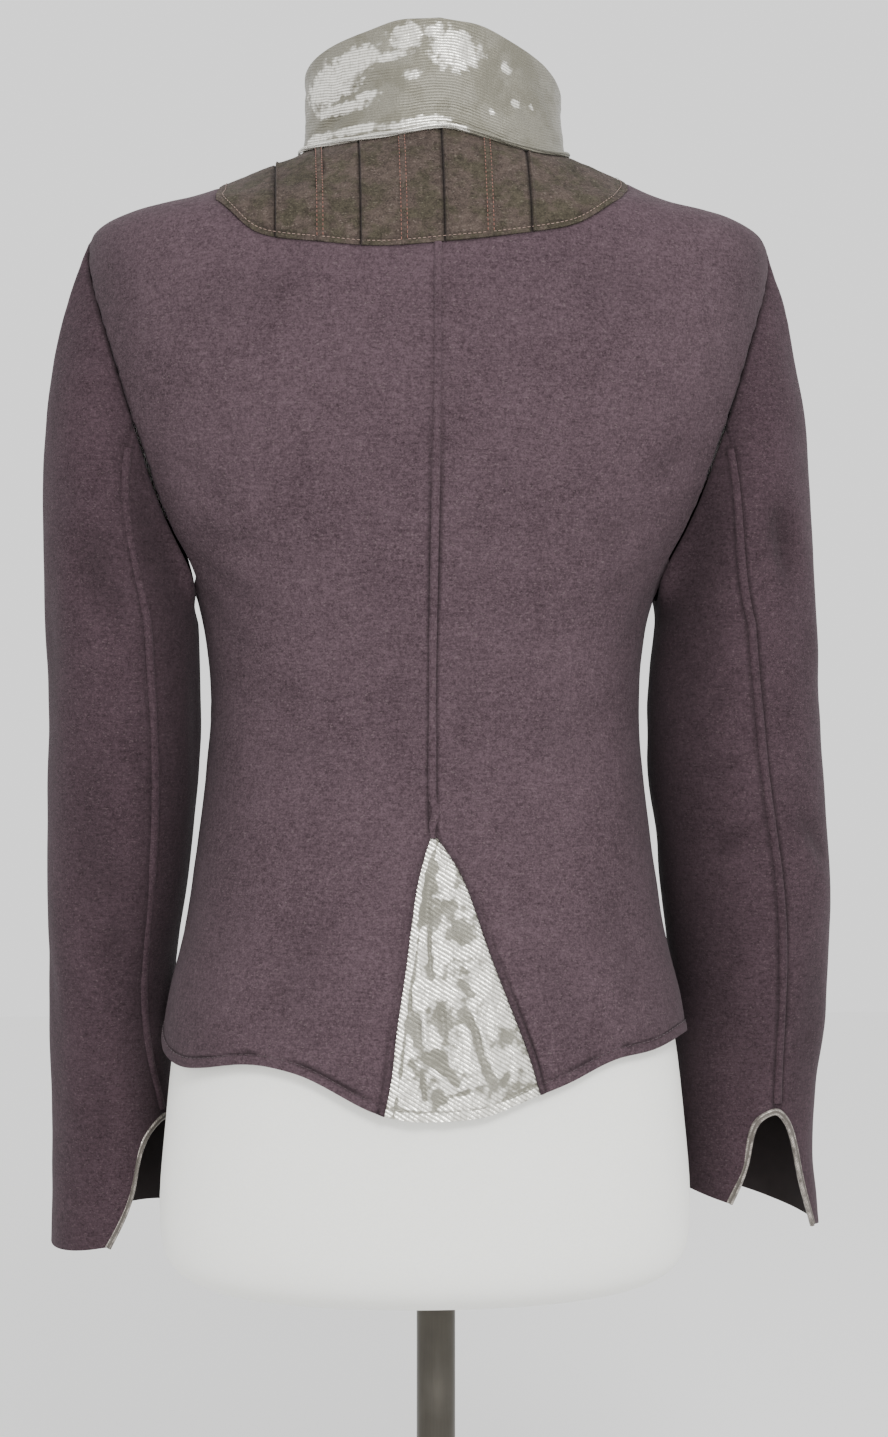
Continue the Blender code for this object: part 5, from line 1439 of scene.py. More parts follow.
def stitch_tree():
    """Geometry nodes: a rounded stitch on every point, laid along the point's Along direction."""
    tree = bpy.data.node_groups.new("Stitches", "GeometryNodeTree")
    tree.interface.new_socket("Geometry", in_out="INPUT", socket_type="NodeSocketGeometry")
    for label in ("Length", "Thickness"):
        tree.interface.new_socket(label, in_out="INPUT", socket_type="NodeSocketFloat")
    tree.interface.new_socket("Thread", in_out="INPUT", socket_type="NodeSocketMaterial")
    tree.interface.new_socket("Geometry", in_out="OUTPUT", socket_type="NodeSocketGeometry")
    given, result = tree.nodes.new("NodeGroupInput"), tree.nodes.new("NodeGroupOutput")
    points = add_node(tree, "GeometryNodeMeshToPoints", {"Mesh": given.outputs["Geometry"]})
    bead_shape = add_node(tree, "GeometryNodeMeshUVSphere", {"Segments": 6, "Rings": 4, "Radius": 0.5})
    along = add_node(tree, "GeometryNodeInputNamedAttribute", {"Name": "Along"}, data_type="FLOAT_VECTOR")
    away = add_node(tree, "GeometryNodeInputNamedAttribute", {"Name": "Away"}, data_type="FLOAT_VECTOR")
    first = add_node(tree, "FunctionNodeAlignRotationToVector", {"Vector": along.outputs["Attribute"]},
                     axis="Z")
    second = add_node(tree, "FunctionNodeAlignRotationToVector",
                      {"Rotation": first.outputs["Rotation"], "Vector": away.outputs["Attribute"]}, axis="X",
                      pivot_axis="Z")
    size = add_node(tree, "ShaderNodeCombineXYZ",
                    {"X": given.outputs["Thickness"], "Y": given.outputs["Thickness"],
                     "Z": given.outputs["Length"]})
    placed = add_node(tree, "GeometryNodeInstanceOnPoints",
                      {"Points": points.outputs["Points"], "Instance": bead_shape.outputs["Mesh"],
                       "Rotation": second.outputs["Rotation"], "Scale": size.outputs["Vector"]})
    real = add_node(tree, "GeometryNodeRealizeInstances", {"Geometry": placed.outputs["Instances"]})
    painted = add_node(tree, "GeometryNodeSetMaterial",
                       {"Geometry": real.outputs["Geometry"], "Material": given.outputs["Thread"]})
    tree.links.new(painted.outputs["Geometry"], result.inputs["Geometry"])
    return tree


def sew(name, lines, length, thickness, thread, tree):
    """One piece of stitches along lines given as (points, out directions)."""
    rows = [thread_points(line, out, length * STITCH_PITCH) for line, out in lines]
    middle, along, away = (np.concatenate(parts) for parts in zip(*rows))
    mesh = bpy.data.meshes.new(name)
    mesh.from_pydata((middle + away * thickness * STITCH_SINK).tolist(), [], [])
    for label, values in (("Along", along), ("Away", away)):
        layer = mesh.attributes.new(label, "FLOAT_VECTOR", "POINT")
        layer.data.foreach_set("vector", values.astype(np.float32).ravel())
    holder = bpy.data.objects.new(f"{name}_points", mesh)
    bpy.context.collection.objects.link(holder)
    nodes = holder.modifiers.new("Stitches", "NODES")
    nodes.node_group = tree
    given = {item.name: item.identifier for item in tree.interface.items_tree if item.in_out == "INPUT"}
    nodes[given["Length"]] = length
    nodes[given["Thickness"]] = thickness
    nodes[given["Thread"]] = thread
    seen = holder.evaluated_get(bpy.context.evaluated_depsgraph_get())
    made = bpy.data.objects.new(name, bpy.data.meshes.new_from_object(seen))
    bpy.context.collection.objects.link(made)
    bpy.data.objects.remove(holder, do_unlink=True)
    made.data.shade_smooth()
    return made


def on_body(angles, heights, rise):
    """A line on the body moved out by rise, with its out directions."""
    angles, heights = np.broadcast_arrays(np.asarray(angles, float), np.asarray(heights, float))
    out = body_normal(angles, tape_at(heights))
    return body_point(angles, tape_at(heights)) + out * rise, out


def hem_stitch(start, stop, count, lift):
    """The line of a hem's stitches between two angles, as points and the directions out of the cloth."""
    angles = np.linspace(start, stop, count)
    return on_body(angles, hem_height(np.clip(angles, -180, 180)) + HEM_STITCH, lift)


def stitch_lines():
    """Lines of stitches of the wool's hem, the godet's hem, the yoke's edge and its double tucks."""
    back = np.linspace(-90, 90, 240)
    left_rim, right_rim = godet_edge(LEFT)[0][0], godet_edge(RIGHT)[0][0]
    spans = ((-89, right_rim - 1.2), (left_rim + 1.2, 89), (91, 180 + LAP_TURN - 2),
             (-91, -180 - LAP_TURN + 2))
    wool_hem = [hem_stitch(start, stop, 200, 0.2 * MM) for start, stop in spans]
    godet_hem = [hem_stitch(right_rim + 1.5, left_rim - 1.2, 60, 0.1 * MM)]
    yoke = [on_body(back, YOKE_SPLINE(back) + YOKE_STITCH, YOKE_LIFT + 0.35 * MM)]
    tucks = []
    for tuck in TUCKS[1::2]:
        for aside in (-DOUBLE_ROW / 2, DOUBLE_ROW / 2):
            line = tuck_line(tuck + aside, YOKE_LIFT + 0.75 * MM)
            tucks.append((line, body_normal(np.degrees(np.arctan2(line[:, 0], line[:, 1])),
                                            tape_at(line[:, 2]))))
    return wool_hem, godet_hem, yoke, tucks


def dress_stitches(finish):
    """Every row of stitches: its name, lines, length and thickness in millimetres, thread and slot."""
    tree = stitch_tree()
    wool_hem, godet_hem, yoke, tucks = stitch_lines()
    rows = {
        "hem": ("hem_stitches", wool_hem, 3.0, 0.45, "dark_thread", "wool"),
        "godet": ("godet_hem_stitches", godet_hem, 2.6, 0.42, "pale_thread", "lame"),
        "yoke": ("yoke_edge_stitches", yoke, 2.2, 0.42, "pink_thread", "yoke_wool"),
        "tucks": ("tuck_stitches", tucks, 2.2, 0.60, "red_thread", "yoke_wool"),
    }
    return {part: keep(sew(name, lines, length * MM, thick * MM, finish[thread], tree), slot)
            for part, (name, lines, length, thick, thread, slot) in rows.items()}


def lathe(name, profile, middle, across, up, out, finish, sides, crisp=35):
    """A solid turned from (radius, rise) rows about an axis through the middle."""
    turns = np.arange(sides) * 2 * math.pi / sides
    circle = np.cos(turns)[:, None] * across + np.sin(turns)[:, None] * up
    rings = np.stack([middle + out * rise + circle * radius for radius, rise in profile])
    return tube(name, rings, finish, crisp=crisp)


def cut_out(piece, cutters):
    """The piece less the cutters, which are removed."""
    for cutter in cutters:
        taken = piece.modifiers.new("Hole", "BOOLEAN")
        taken.object, taken.operation, taken.solver = cutter, "DIFFERENCE", "EXACT"
    seen = piece.evaluated_get(bpy.context.evaluated_depsgraph_get())
    mesh = bpy.data.meshes.new_from_object(seen)
    piece.modifiers.clear()
    piece.data = mesh
    for cutter in cutters:
        bpy.data.objects.remove(cutter, do_unlink=True)
    mesh.shade_smooth()
    mesh.set_sharp_from_angle(angle=math.radians(30))
    return piece


def dress_button(number, height, finish):
    """A four-hole button with a raised rim, its thread and the worked buttonhole under it."""
    tape = tape_at(height)
    middle, out = body_point(180.0, tape), body_normal(180.0, tape)
    across = np.array([1.0, 0, 0])
    up = np.cross(out, across)
    middle = middle + out * BUTTON_LIFT
    r, t = BUTTON_RADIUS, BUTTON_THICK
    profile = [(r * 0.30, 0), (r * 0.86, 0), (r * 0.95, t * 0.10), (r, t * 0.32), (r, t * 0.68),
               (r * 0.975, t * 0.88), (r * 0.93, t * 0.98), (r * 0.87, t), (r * 0.80, t * 0.95),
               (r * 0.72, t * 0.80), (r * 0.55, t * 0.70), (r * 0.20, t * 0.68)]
    piece = lathe(f"button_{number}_turned", profile, middle, across, up, out, finish["button"], 64)
    cutters = []
    for turn in range(4):
        angle = math.pi / 4 + turn * math.pi / 2
        spot = middle + (across * math.cos(angle) + up * math.sin(angle)) * HOLE_REACH - out * t
        cutters.append(lathe(f"hole_{turn}", [(HOLE_RADIUS, 0), (HOLE_RADIUS, 3 * t)], spot, across, up, out,
                             finish["button"], 16))
    cut_out(piece, cutters)
    keep(piece, "button", f"button_{number}")
    for number_across, (turn, aside) in enumerate(((math.pi / 4, 0.25), (3 * math.pi / 4, 0.55))):
        direction = across * math.cos(turn) + up * math.sin(turn)
        t_along = np.linspace(-1, 1, 13)
        arch = (1 - t_along**4) * 0.35 * MM + aside * MM
        path = (middle + direction * (t_along * HOLE_REACH)[:, None]
                + out * (t * 0.70 + arch - 0.25 * MM)[:, None])
        side_way = np.tile(np.cross(out, direction), (13, 1))
        keep(bead(f"button_{number}_thread_{number_across}", path, side_way, np.tile(out, (13, 1)), 0.42 * MM,
                  finish["dark_thread"], sides=8), "button")
    dress_buttonhole(number, middle, across, up, out, finish)


def dress_buttonhole(number, middle, across, up, out, finish):
    """A plain worked buttonhole, level, that shows past the button's edge."""
    turns = np.linspace(0, 2 * math.pi, 49)
    reach = BUTTONHOLE_HALF * np.sign(np.cos(turns)) * np.abs(np.cos(turns))**0.6
    path = (middle + across * (reach + BUTTONHOLE_ASIDE)[:, None] + up * (np.sin(turns) * 1.3 * MM)[:, None])
    angles = np.degrees(np.arctan2(path[:, 0] - LEAN_SPLINE(path[:, 2]), path[:, 1]))
    normals = body_normal(angles, tape_at(path[:, 2]))
    path = body_point(angles, tape_at(path[:, 2])) + normals * 0.35 * MM
    side_way = unit(np.cross(normals, np.gradient(path, axis=0)))
    hole = bead(f"buttonhole_{number}", path, side_way, normals, 0.75 * MM, finish["dark_thread"], sides=8,
                flatten=0.6)
    keep(hole, "wool")


def dress_form(finish):
    """The limbless form, finer than its solid and smooth."""
    angles = np.arange(FORM_FINE_SIDES) * 360 / FORM_FINE_SIDES
    foot, neck = ([ring_point(angles, np.tile(np.array(row), (FORM_FINE_SIDES, 1))) for row in rows]
                  for rows in (FORM_FOOT, FORM_NECK))
    body = []
    for height in FORM_BODY_HEIGHTS:
        low, high = SHOULDER_REST
        rest = smooth_step((height - low) / (high - low))
        inset = WOOL_WALL + FORM_EASE + (SHOULDER_EASE - FORM_EASE) * rest
        body.append(on_body(angles, height, -inset)[0])
    fine = refine(np.array(foot + body + neck), FORM_ROW_STEPS, 1)
    return keep(tube("dress_form_cover", fine, finish["form"], crisp=80), "form_cover", "dress_form")


def dress_stand(finish):
    """The steel pole and the round base."""
    across, up, out = np.eye(3)
    spot = np.array([POLE_X, 0, 0])
    b, t, c = BASE_RADIUS, BASE_THICK, BASE_CHAMFER
    profile = [(b - c, 0), (b - c * 0.3, c * 0.3), (b, c), (b, t - c), (b - c * 0.3, t - c * 0.3), (b - c, t),
               (POLE_RADIUS * 1.9, t)]
    base = lathe("base_plate", profile, spot, across, up, out, finish["steel"], 128)
    keep(base, "steel", "stand_base")
    low, high = t + LAYER_GAP, FORM_UNDERSIDE - LAYER_GAP
    pole = lathe("pole", [(POLE_RADIUS * 0.97, low), (POLE_RADIUS, low + 0.6 * MM),
                          (POLE_RADIUS, high - 0.6 * MM), (POLE_RADIUS * 0.97, high)],
                 spot, across, up, out, finish["steel"], 64)
    return keep(pole, "steel", "stand_pole")


# The flat cut of what shows of each cloth piece: width, length and area, in metres
Cut = namedtuple("Cut", "width length area")
CUTS = {
    "back": Cut(0.270, 0.560, 0.105), "front": Cut(0.310, 0.570, 0.120), "godet": Cut(0.100, 0.165, 0.0092),
    "yoke": Cut(0.420, 0.085, 0.0240), "upper sleeve": Cut(0.200, 0.620, 0.094),
    "under sleeve": Cut(0.160, 0.500, 0.064), "collar": Cut(0.480, 0.068, 0.0225),
}


def cloth_area(piece):
    """Half the surface of a closed thin shell, in square metres."""
    return sum(face.area for face in piece.data.polygons) / 2


def cloth_piece(piece, cut, slot, *nodes):
    """A shell of cloth that rides on the body; its cut is stated once its trims are made."""
    keep(piece, slot, *nodes)
    CLOTH.append((piece, cut))
    return piece


def state_cuts(trims):
    """Every piece of cloth is a sheet draped on the form; trims go with the pieces that they are sewn to."""
    for piece, cut in CLOTH:
        size = CUTS[cut]
        print("cloth", piece.name, cut, round(cloth_area(piece), 4), "of", size.area)
        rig.sheet(piece, flat=(size.width, size.length), held="draped", rests_on=["dress_form_cover"],
                 area=size.area, with_pieces=trims.get(piece.name, []))


# Nodes
def add_node(tree, kind, links=None, **settings):
    """A node with its settings, and its inputs given values or linked."""
    node = tree.nodes.new(kind)
    for key, value in settings.items():
        setattr(node, key, value)
    for socket, source in (links or {}).items():
        if isinstance(source, bpy.types.NodeSocket):
            tree.links.new(source, node.inputs[socket])
        else:
            node.inputs[socket].default_value = source
    return node


def new_group(name, inputs, outputs):
    """A shader node group with named inputs (label, kind, value) and outputs (label, kind)."""
    tree = bpy.data.node_groups.new(name, "ShaderNodeTree")
    for label, kind, value in inputs:
        tree.interface.new_socket(label, in_out="INPUT", socket_type=kind).default_value = value
    for label, kind in outputs:
        tree.interface.new_socket(label, in_out="OUTPUT", socket_type=kind)
    return tree, tree.nodes.new("NodeGroupInput"), tree.nodes.new("NodeGroupOutput")


def calc(tree, operation, a, b=0.0, clamp=False):
    return add_node(tree, "ShaderNodeMath", {0: a, 1: b}, operation=operation, use_clamp=clamp).outputs[0]


def weigh(tree, *parts, clamp=False):
    """The sum of parts, each given with its weight."""
    shares = [calc(tree, "MULTIPLY", part, weight) for part, weight in parts]
    total = shares[0]
    for share in shares[1:]:
        total = calc(tree, "ADD", total, share, clamp=clamp and share is shares[-1])
    return total


def blend_colour(tree, share, a, b, how="MIX"):
    node = add_node(tree, "ShaderNodeMix", {0: share, 6: a, 7: b}, data_type="RGBA", blend_type=how)
    return node.outputs[2]


def noise(tree, place, size, detail=2.0, stretch=None, roughness=0.5):
    """Noise whose features are about size metres across; stretch scales its axes."""
    if stretch is not None:
        place = add_node(tree, "ShaderNodeMapping", {"Vector": place, "Scale": stretch}).outputs[0]
    node = add_node(tree, "ShaderNodeTexNoise", {"Vector": place, "Scale": 1 / size, "Detail": detail,
                                                 "Roughness": roughness})
    return node.outputs[0]


def spread(tree, value, low, high, to_low=0.0, to_high=1.0):
    node = add_node(tree, "ShaderNodeMapRange", {0: value, 1: low, 2: high, 3: to_low, 4: to_high},
                    interpolation_type="SMOOTHSTEP")
    return node.outputs[0]


COLOUR, NUMBER = "NodeSocketColor", "NodeSocketFloat"


def felt_group():
    """Felted wool: clouds, a fine mottle, single lighter and darker fibres, and a faint level hatch."""
    tree, given, result = new_group("Felt", [
        ("Dark", COLOUR, (0.1, 0.1, 0.1, 1)), ("Light", COLOUR, (0.2, 0.2, 0.2, 1)),
        ("Fleck", COLOUR, (0.3, 0.3, 0.3, 1)), ("Mottle Size", NUMBER, 3 * MM),
        ("Fleck Amount", NUMBER, 0.2), ("Hatch Amount", NUMBER, 0.2), ("Stain", COLOUR, (1, 1, 1, 1)),
    ], [("Color", COLOUR), ("Roughness", NUMBER), ("Height", NUMBER)])
    place = add_node(tree, "ShaderNodeTexCoord").outputs["Object"]
    clouds = noise(tree, place, 60 * MM, 2)
    blotches = noise(tree, place, 17 * MM, 2)
    fine = noise(tree, place, 1.1 * MM, 3, roughness=0.65)
    hatch = noise(tree, place, 7 * MM, 2, stretch=(1, 1, 7))
    mottle_scale = calc(tree, "DIVIDE", 1.0, given.outputs["Mottle Size"])
    mottle = add_node(tree, "ShaderNodeTexNoise", {"Vector": place, "Scale": mottle_scale, "Detail": 3.0,
                                                   "Roughness": 0.6}).outputs[0]
    tone = weigh(tree, (spread(tree, clouds, 0.3, 0.7), 0.10), (spread(tree, blotches, 0.3, 0.7), 0.08),
                 (spread(tree, mottle, 0.25, 0.75), 0.34), (spread(tree, fine, 0.25, 0.75), 0.48),
                 (calc(tree, "SUBTRACT", hatch, 0.5), given.outputs["Hatch Amount"]), clamp=True)
    colour = blend_colour(tree, tone, given.outputs["Dark"], given.outputs["Light"])
    fibres = noise(tree, place, 1.6 * MM, 1, stretch=(1, 1, 1.6))
    flecks = calc(tree, "MULTIPLY", spread(tree, fibres, 0.62, 0.74), given.outputs["Fleck Amount"])
    colour = blend_colour(tree, flecks, colour, given.outputs["Fleck"])
    stains = spread(tree, noise(tree, place, 13 * MM, 3, roughness=0.6), 0.40, 0.62)
    colour = blend_colour(tree, stains, colour, given.outputs["Stain"], "MULTIPLY")
    # Painted shade: the attribute read here darkens the colour towards near black, along dark seams and stitches and
    # as painted shade in grooves and creases, on the body's sides and on the sleeves' inner sides
    seam = add_node(tree, "ShaderNodeAttribute", attribute_name="Seam").outputs["Fac"]
    sunk = blend_colour(tree, 0.75, given.outputs["Dark"], (0.004, 0.003, 0.003, 1))
    colour = blend_colour(tree, calc(tree, "MULTIPLY", seam, 0.85), colour, sunk)
    height = weigh(tree, (fine, 0.55), (mottle, 0.30), (hatch, 0.35))
    tree.links.new(colour, result.inputs["Color"])
    tree.links.new(spread(tree, fine, 0.3, 0.7, 0.86, 0.97), result.inputs["Roughness"])
    tree.links.new(height, result.inputs["Height"])
    return tree


def lame_group():
    """Silver lame: fine ribs on the cloth's own map, turned by an input, bright patches and dull valleys as painted
    highlights and painted shade.
    """
    tree, given, result = new_group("Lame", [
        ("Dull", COLOUR, (0.3, 0.3, 0.28, 1)), ("Bright", COLOUR, (0.8, 0.8, 0.76, 1)),
        ("Rib Pitch", NUMBER, 1.25 * MM), ("Rib Turn", NUMBER, 0.0), ("Rib Depth", NUMBER, 1.0),
    ], [("Color", COLOUR), ("Roughness", NUMBER), ("Metallic", NUMBER), ("Height", NUMBER)])
    cloth = add_node(tree, "ShaderNodeUVMap", uv_map="Cloth").outputs[0]
    place = add_node(tree, "ShaderNodeTexCoord").outputs["Object"]
    warp = add_node(tree, "ShaderNodeTexNoise", {"Vector": cloth, "Scale": 1 / (9 * MM), "Detail": 1.0})
    moved = add_node(tree, "ShaderNodeVectorMath", {0: warp.outputs["Color"], 1: (1.0 * MM, 1.0 * MM, 0)},
                     operation="MULTIPLY").outputs[0]
    laid = add_node(tree, "ShaderNodeVectorMath", {0: cloth, 1: moved}, operation="ADD").outputs[0]
    turned = add_node(tree, "ShaderNodeVectorRotate", {"Vector": laid, "Angle": given.outputs["Rib Turn"]},
                      rotation_type="Z_AXIS").outputs[0]
    along = add_node(tree, "ShaderNodeSeparateXYZ", {0: turned}).outputs["X"]
    phase = calc(tree, "DIVIDE", along, given.outputs["Rib Pitch"])
    wave = calc(tree, "SINE", calc(tree, "MULTIPLY", phase, 2 * math.pi))
    crest = calc(tree, "POWER", calc(tree, "ADD", calc(tree, "MULTIPLY", wave, 0.5), 0.5), 0.6)
    rib = calc(tree, "MULTIPLY", crest, given.outputs["Rib Depth"])
    broken = noise(tree, cloth, 1.7 * MM, 2, stretch=(1, 0.35, 1))
    # Painted highlights: bright patches from noise and from the Bright attribute, and brighter ribs only where it is
    # bright
    patch = spread(tree, noise(tree, place, 21 * MM, 3, roughness=0.6), 0.42, 0.60)
    lit = add_node(tree, "ShaderNodeAttribute", attribute_name="Bright").outputs["Fac"]
    torn = calc(tree, "SUBTRACT", noise(tree, cloth, 5 * MM, 4), 0.5)
    lit = spread(tree, calc(tree, "ADD", lit, calc(tree, "MULTIPLY", torn, 1.3)), 0.28, 0.68)
    patch = weigh(tree, (patch, 0.30), (lit, 1.0), clamp=True)
    grain = calc(tree, "SUBTRACT", noise(tree, cloth, 0.7 * MM, 2), 0.5)
    ribbed = calc(tree, "MULTIPLY",
                  calc(tree, "MULTIPLY", rib, spread(tree, broken, 0.25, 0.65, 0.35, 1.0)), lit)
    tone = weigh(tree, (patch, 0.20), (grain, 0.30), (ribbed, 1.05), clamp=True)
    colour = blend_colour(tree, tone, given.outputs["Dull"], given.outputs["Bright"])
    height = weigh(tree, (rib, 0.55), (broken, 0.5), (grain, 0.2))
    tree.links.new(colour, result.inputs["Color"])
    tree.links.new(spread(tree, tone, 0.0, 1.0, 0.46, 0.26), result.inputs["Roughness"])
    tree.links.new(spread(tree, tone, 0.0, 1.0, 0.45, 0.80), result.inputs["Metallic"])
    tree.links.new(height, result.inputs["Height"])
    return tree


def wear_group():
    """Small scuffs and grime for hard pieces."""
    tree, given, result = new_group("Handled", [
        ("Base", COLOUR, (0.3, 0.3, 0.3, 1)), ("Worn", COLOUR, (0.4, 0.4, 0.4, 1)), ("Size", NUMBER, 8 * MM),
        ("Smooth", NUMBER, 0.3), ("Rough", NUMBER, 0.5), ("Brush", NUMBER, 1.0),
    ], [("Color", COLOUR), ("Roughness", NUMBER), ("Height", NUMBER)])
    place = add_node(tree, "ShaderNodeTexCoord").outputs["Object"]
    scale = calc(tree, "DIVIDE", 1.0, given.outputs["Size"])
    marks = add_node(tree, "ShaderNodeTexNoise", {"Vector": place, "Scale": scale, "Detail": 4.0}).outputs[0]
    lines = noise(tree, place, 1.2 * MM, 2, stretch=(1, 1, 0.06))
    brushed = calc(tree, "MULTIPLY", lines, given.outputs["Brush"])
    share = weigh(tree, (spread(tree, marks, 0.35, 0.65), 0.5), (brushed, 0.5), clamp=True)
    colour = blend_colour(tree, share, given.outputs["Base"], given.outputs["Worn"])
    span = calc(tree, "SUBTRACT", given.outputs["Rough"], given.outputs["Smooth"])
    rough = calc(tree, "ADD", given.outputs["Smooth"], calc(tree, "MULTIPLY", share, span))
    tree.links.new(colour, result.inputs["Color"])
    tree.links.new(rough, result.inputs["Roughness"])
    tree.links.new(brushed, result.inputs["Height"])
    return tree


def finished(name, group, values, bump, plain):
    """A material of one Principled shader fed by a group; bump is its depth, plain its own socket values."""
    made = bpy.data.materials.new(name)
    made.use_nodes = True
    tree = made.node_tree
    shader = tree.nodes["Principled BSDF"]
    effect = add_node(tree, "ShaderNodeGroup", node_tree=group)
    for label, value in values.items():
        effect.inputs[label].default_value = value
    relief = add_node(tree, "ShaderNodeBump",
                      {"Height": effect.outputs["Height"], "Distance": bump, "Strength": 1.0})
    tree.links.new(effect.outputs["Color"], shader.inputs["Base Color"])
    tree.links.new(effect.outputs["Roughness"], shader.inputs["Roughness"])
    if "Metallic" in effect.outputs:
        tree.links.new(effect.outputs["Metallic"], shader.inputs["Metallic"])
    tree.links.new(relief.outputs["Normal"], shader.inputs["Normal"])
    for label, value in plain.items():
        shader.inputs[label].default_value = value
    return made


def make_finishes():
    felt, lame, handled = felt_group(), lame_group(), wear_group()
    wool_plain = {"Sheen Weight": 0.05, "Sheen Roughness": 0.5, "Sheen Tint": (0.75, 0.68, 0.72, 1),
                  "Specular IOR Level": 0.15}
    thread_plain = {"Sheen Weight": 0.2, "Specular IOR Level": 0.3}

    def thread(name, dark, light):
        return finished(name, felt, {"Dark": dark, "Light": light, "Fleck": light, "Mottle Size": 2 * MM,
                                     "Fleck Amount": 0.0, "Hatch Amount": 0.0}, 0.05 * MM, thread_plain)

    return {
        "wool": finished("Plum felted wool", felt, {
            "Dark": (0.020, 0.011, 0.0145, 1), "Light": (0.100, 0.066, 0.079, 1),
            "Fleck": (0.15, 0.115, 0.118, 1),
            "Mottle Size": 2.4 * MM, "Fleck Amount": 0.35, "Hatch Amount": 0.5}, 0.5 * MM, wool_plain),
        # The same wool made darker for the sleeves and their seams: painted shade
        "sleeve": finished("Plum felted wool, nap down", felt, {
            "Dark": (0.014, 0.0075, 0.010, 1), "Light": (0.069, 0.043, 0.053, 1),
            "Fleck": (0.12, 0.09, 0.093, 1),
            "Mottle Size": 2.4 * MM, "Fleck Amount": 0.35, "Hatch Amount": 0.5}, 0.5 * MM, wool_plain),
        # A dark lining, its darkness partly painted shade inside the sleeves
        "lining": finished("Dark lining", felt, {
            "Dark": (0.012, 0.009, 0.009, 1), "Light": (0.022, 0.016, 0.016, 1),
            "Fleck": (0.03, 0.02, 0.02, 1),
            "Mottle Size": 6 * MM, "Fleck Amount": 0.1, "Hatch Amount": 0.1},
            0.05 * MM, {"Specular IOR Level": 0.3}),
        "yoke": finished("Speckled wool", felt, {
            "Dark": (0.012, 0.0085, 0.007, 1), "Light": (0.098, 0.074, 0.062, 1),
            "Fleck": (0.18, 0.15, 0.125, 1),
            "Mottle Size": 4.2 * MM, "Fleck Amount": 0.42, "Hatch Amount": 0.4,
            "Stain": (0.74, 0.84, 0.70, 1)},
            0.6 * MM, wool_plain),
        "lame": finished("Silver lame", lame, {
            "Dull": (0.165, 0.155, 0.118, 1), "Bright": (0.98, 0.955, 0.88, 1), "Rib Pitch": 1.7 * MM,
            "Rib Turn": math.radians(87), "Rib Depth": 1.0}, 0.6 * MM, {"Sheen Weight": 0.1}),
        "godet": finished("Silver lame, crushed", lame, {
            "Dull": (0.185, 0.177, 0.142, 1), "Bright": (0.96, 0.935, 0.86, 1), "Rib Pitch": 2.3 * MM,
            "Rib Turn": math.radians(58), "Rib Depth": 0.95}, 0.6 * MM, {"Sheen Weight": 0.1}),
        "binding": finished("Silver lame, folded", lame, {
            "Dull": (0.085, 0.074, 0.064, 1), "Bright": (0.50, 0.455, 0.41, 1), "Rib Pitch": 1.3 * MM,
            "Rib Turn": math.radians(35), "Rib Depth": 0.9}, 0.25 * MM, {"Sheen Weight": 0.1}),
        "form": finished("White form cover", felt, {
            "Dark": (0.88, 0.88, 0.83, 1), "Light": (0.95, 0.95, 0.91, 1), "Fleck": (0.97, 0.97, 0.94, 1),
            "Mottle Size": 1.5 * MM, "Fleck Amount": 0.2, "Hatch Amount": 0.1},
            0.05 * MM, {"Sheen Weight": 0.1}),
        "button": finished("Dark resin", handled, {
            "Base": (0.016, 0.010, 0.012, 1), "Worn": (0.036, 0.025, 0.029, 1), "Size": 4 * MM,
            "Smooth": 0.25, "Rough": 0.42, "Brush": 0.2},
            0.03 * MM, {"Coat Weight": 0.3, "Coat Roughness": 0.2}),
        "steel": finished("Brushed steel", handled, {
            "Base": (0.056, 0.051, 0.043, 1), "Worn": (0.088, 0.081, 0.069, 1), "Size": 40 * MM,
            "Smooth": 0.28, "Rough": 0.48, "Brush": 1.0}, 0.03 * MM, {"Metallic": 0.9}),
        "dark_thread": thread("Plum thread", (0.035, 0.022, 0.026, 1), (0.075, 0.05, 0.058, 1)),
        "pale_thread": thread("Grey thread", (0.30, 0.29, 0.26, 1), (0.55, 0.53, 0.48, 1)),
        "pink_thread": thread("Rose thread", (0.20, 0.13, 0.11, 1), (0.34, 0.23, 0.19, 1)),
        "red_thread": thread("Russet thread", (0.13, 0.052, 0.038, 1), (0.25, 0.11, 0.08, 1)),
    }


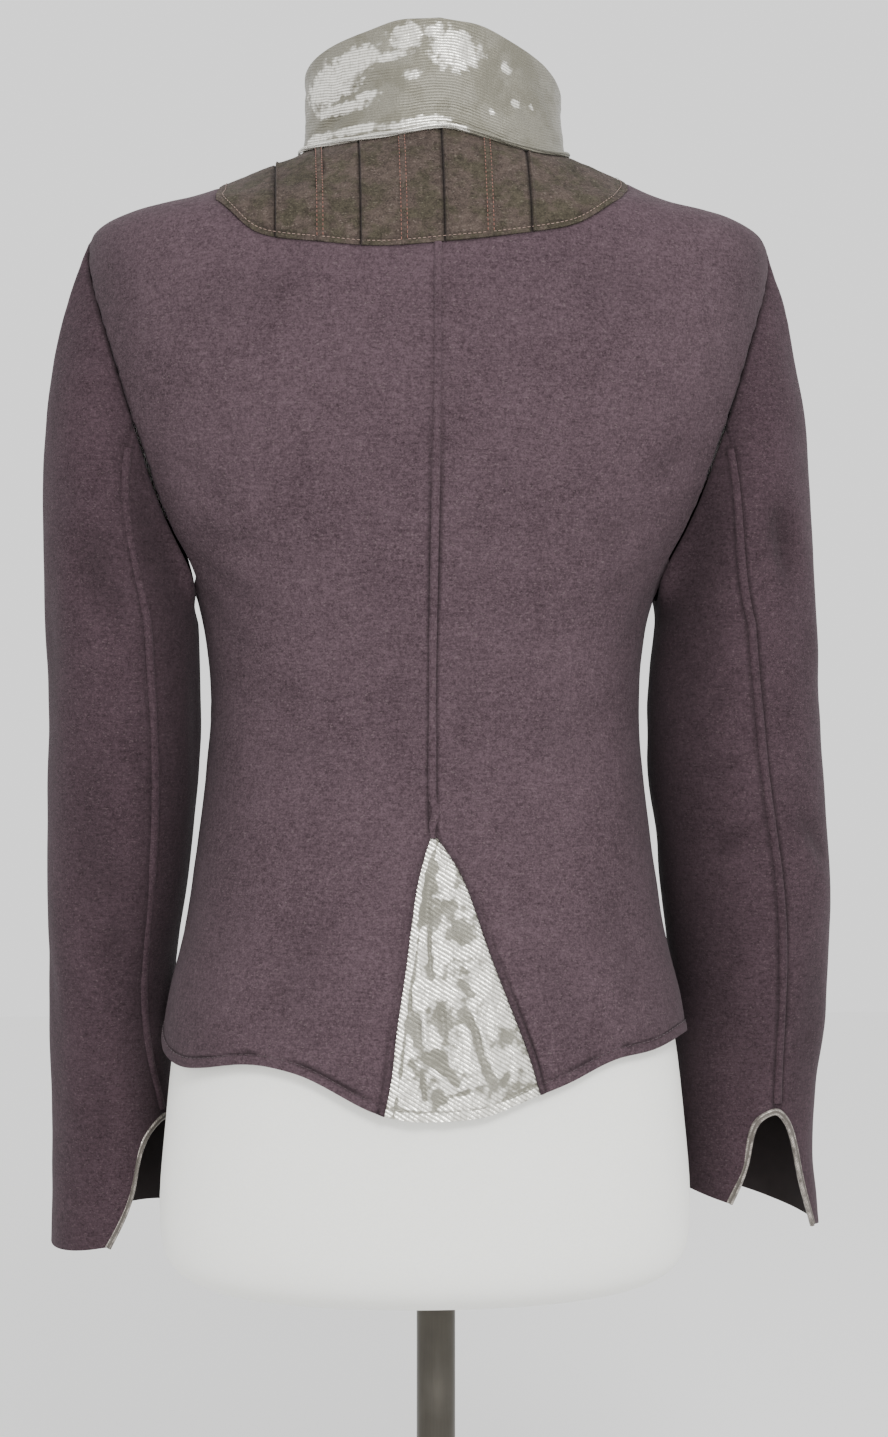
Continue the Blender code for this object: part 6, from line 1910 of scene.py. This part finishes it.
def add_studio():
    """A pale floor, near-white surroundings and soft light."""
    floor = bpy.data.meshes.new("floor")
    half = FLOOR_SIZE / 2
    floor.from_pydata([(-half, -half, 0), (half, -half, 0), (half, half, 0), (-half, half, 0)], [],
                      [(0, 1, 2, 3)])
    paint = bpy.data.materials.new("Pale floor")
    paint.use_nodes = True
    shader = paint.node_tree.nodes["Principled BSDF"]
    shader.inputs["Base Color"].default_value = FLOOR_COLOUR
    shader.inputs["Roughness"].default_value = 0.9
    floor.materials.append(paint)
    ground = bpy.data.objects.new("floor", floor)
    bpy.context.collection.objects.link(ground)
    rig.stage(ground)
    world = bpy.data.worlds.new("Studio")
    bpy.context.scene.world = world
    world.use_nodes = True
    backdrop = world.node_tree.nodes["Background"]
    backdrop.inputs["Color"].default_value = (1, 1, 1, 1)
    backdrop.inputs["Strength"].default_value = WORLD_STRENGTH
    for name, place, power, size in STUDIO_LIGHTS:
        light = bpy.data.lights.new(name, "AREA")
        light.energy, light.shape, light.size = power, "DISK", size
        lamp = bpy.data.objects.new(name, light)
        lamp.location = place
        lamp.rotation_euler = (Vector(LIGHT_AIM) - Vector(place)).to_track_quat("-Z", "Y").to_euler()
        bpy.context.collection.objects.link(lamp)


def add_camera():
    """Level, from behind and a little to the garment's right."""
    turn = math.radians(CAMERA_TURN)
    forward = Vector((-math.sin(turn), -math.cos(turn), 0))
    right = Vector((-math.cos(turn), math.sin(turn), 0))
    lens = bpy.data.cameras.new("Camera")
    lens.lens, lens.sensor_fit, lens.sensor_height = CAMERA_LENS, "VERTICAL", 36
    camera = bpy.data.objects.new("Camera", lens)
    camera.location = Vector((0, 0, CAMERA_HEIGHT)) + right * CAMERA_ASIDE - forward * CAMERA_DISTANCE
    camera.rotation_euler = forward.to_track_quat("-Z", "Y").to_euler()
    bpy.context.collection.objects.link(camera)
    bpy.context.scene.camera = camera


def main():
    finish = make_finishes()
    dress_form(finish)
    dress_stand(finish)
    trims = {}
    stitches = dress_stitches(finish)
    for side in (LEFT, RIGHT):
        label = SIDE_NAMES[side]
        dress_back(side, finish["wool"])
        dress_front(side, finish["wool"])
        for kind in ("upper", "under"):
            dress_sleeve(side, kind, finish["sleeve"], finish["lining"])
        trims[f"sleeve_upper_{label}_cloth"] = [dress_binding(side, finish["binding"]),
                                                dress_sleeve_seam(side, finish["sleeve"])]
    trims["back_left_cloth"] = [dress_back_seam(finish["wool"]), stitches["hem"]]
    dress_yoke(finish["yoke"])
    trims["back_yoke_cloth"] = [stitches["yoke"], stitches["tucks"]]
    dress_godet(finish["godet"])
    trims["godet_cloth"] = [stitches["godet"]]
    dress_collar(finish["lame"])
    trims["collar_cloth"] = [dress_roll(finish["lame"])]
    for number, height in enumerate(BUTTON_HEIGHTS, 1):
        dress_button(number, height, finish)
    state_cuts(trims)
    add_studio()
    add_camera()
    print("triangles", sum(len(face.vertices) - 2 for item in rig.pieces() if item.type == "MESH"
                           for face in item.data.polygons))
    with open("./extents.json", "w", encoding="utf-8") as sizes:
        json.dump({"cad": CAD_BOX, "scene": [list(corner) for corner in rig.bounds()]}, sizes)


main()
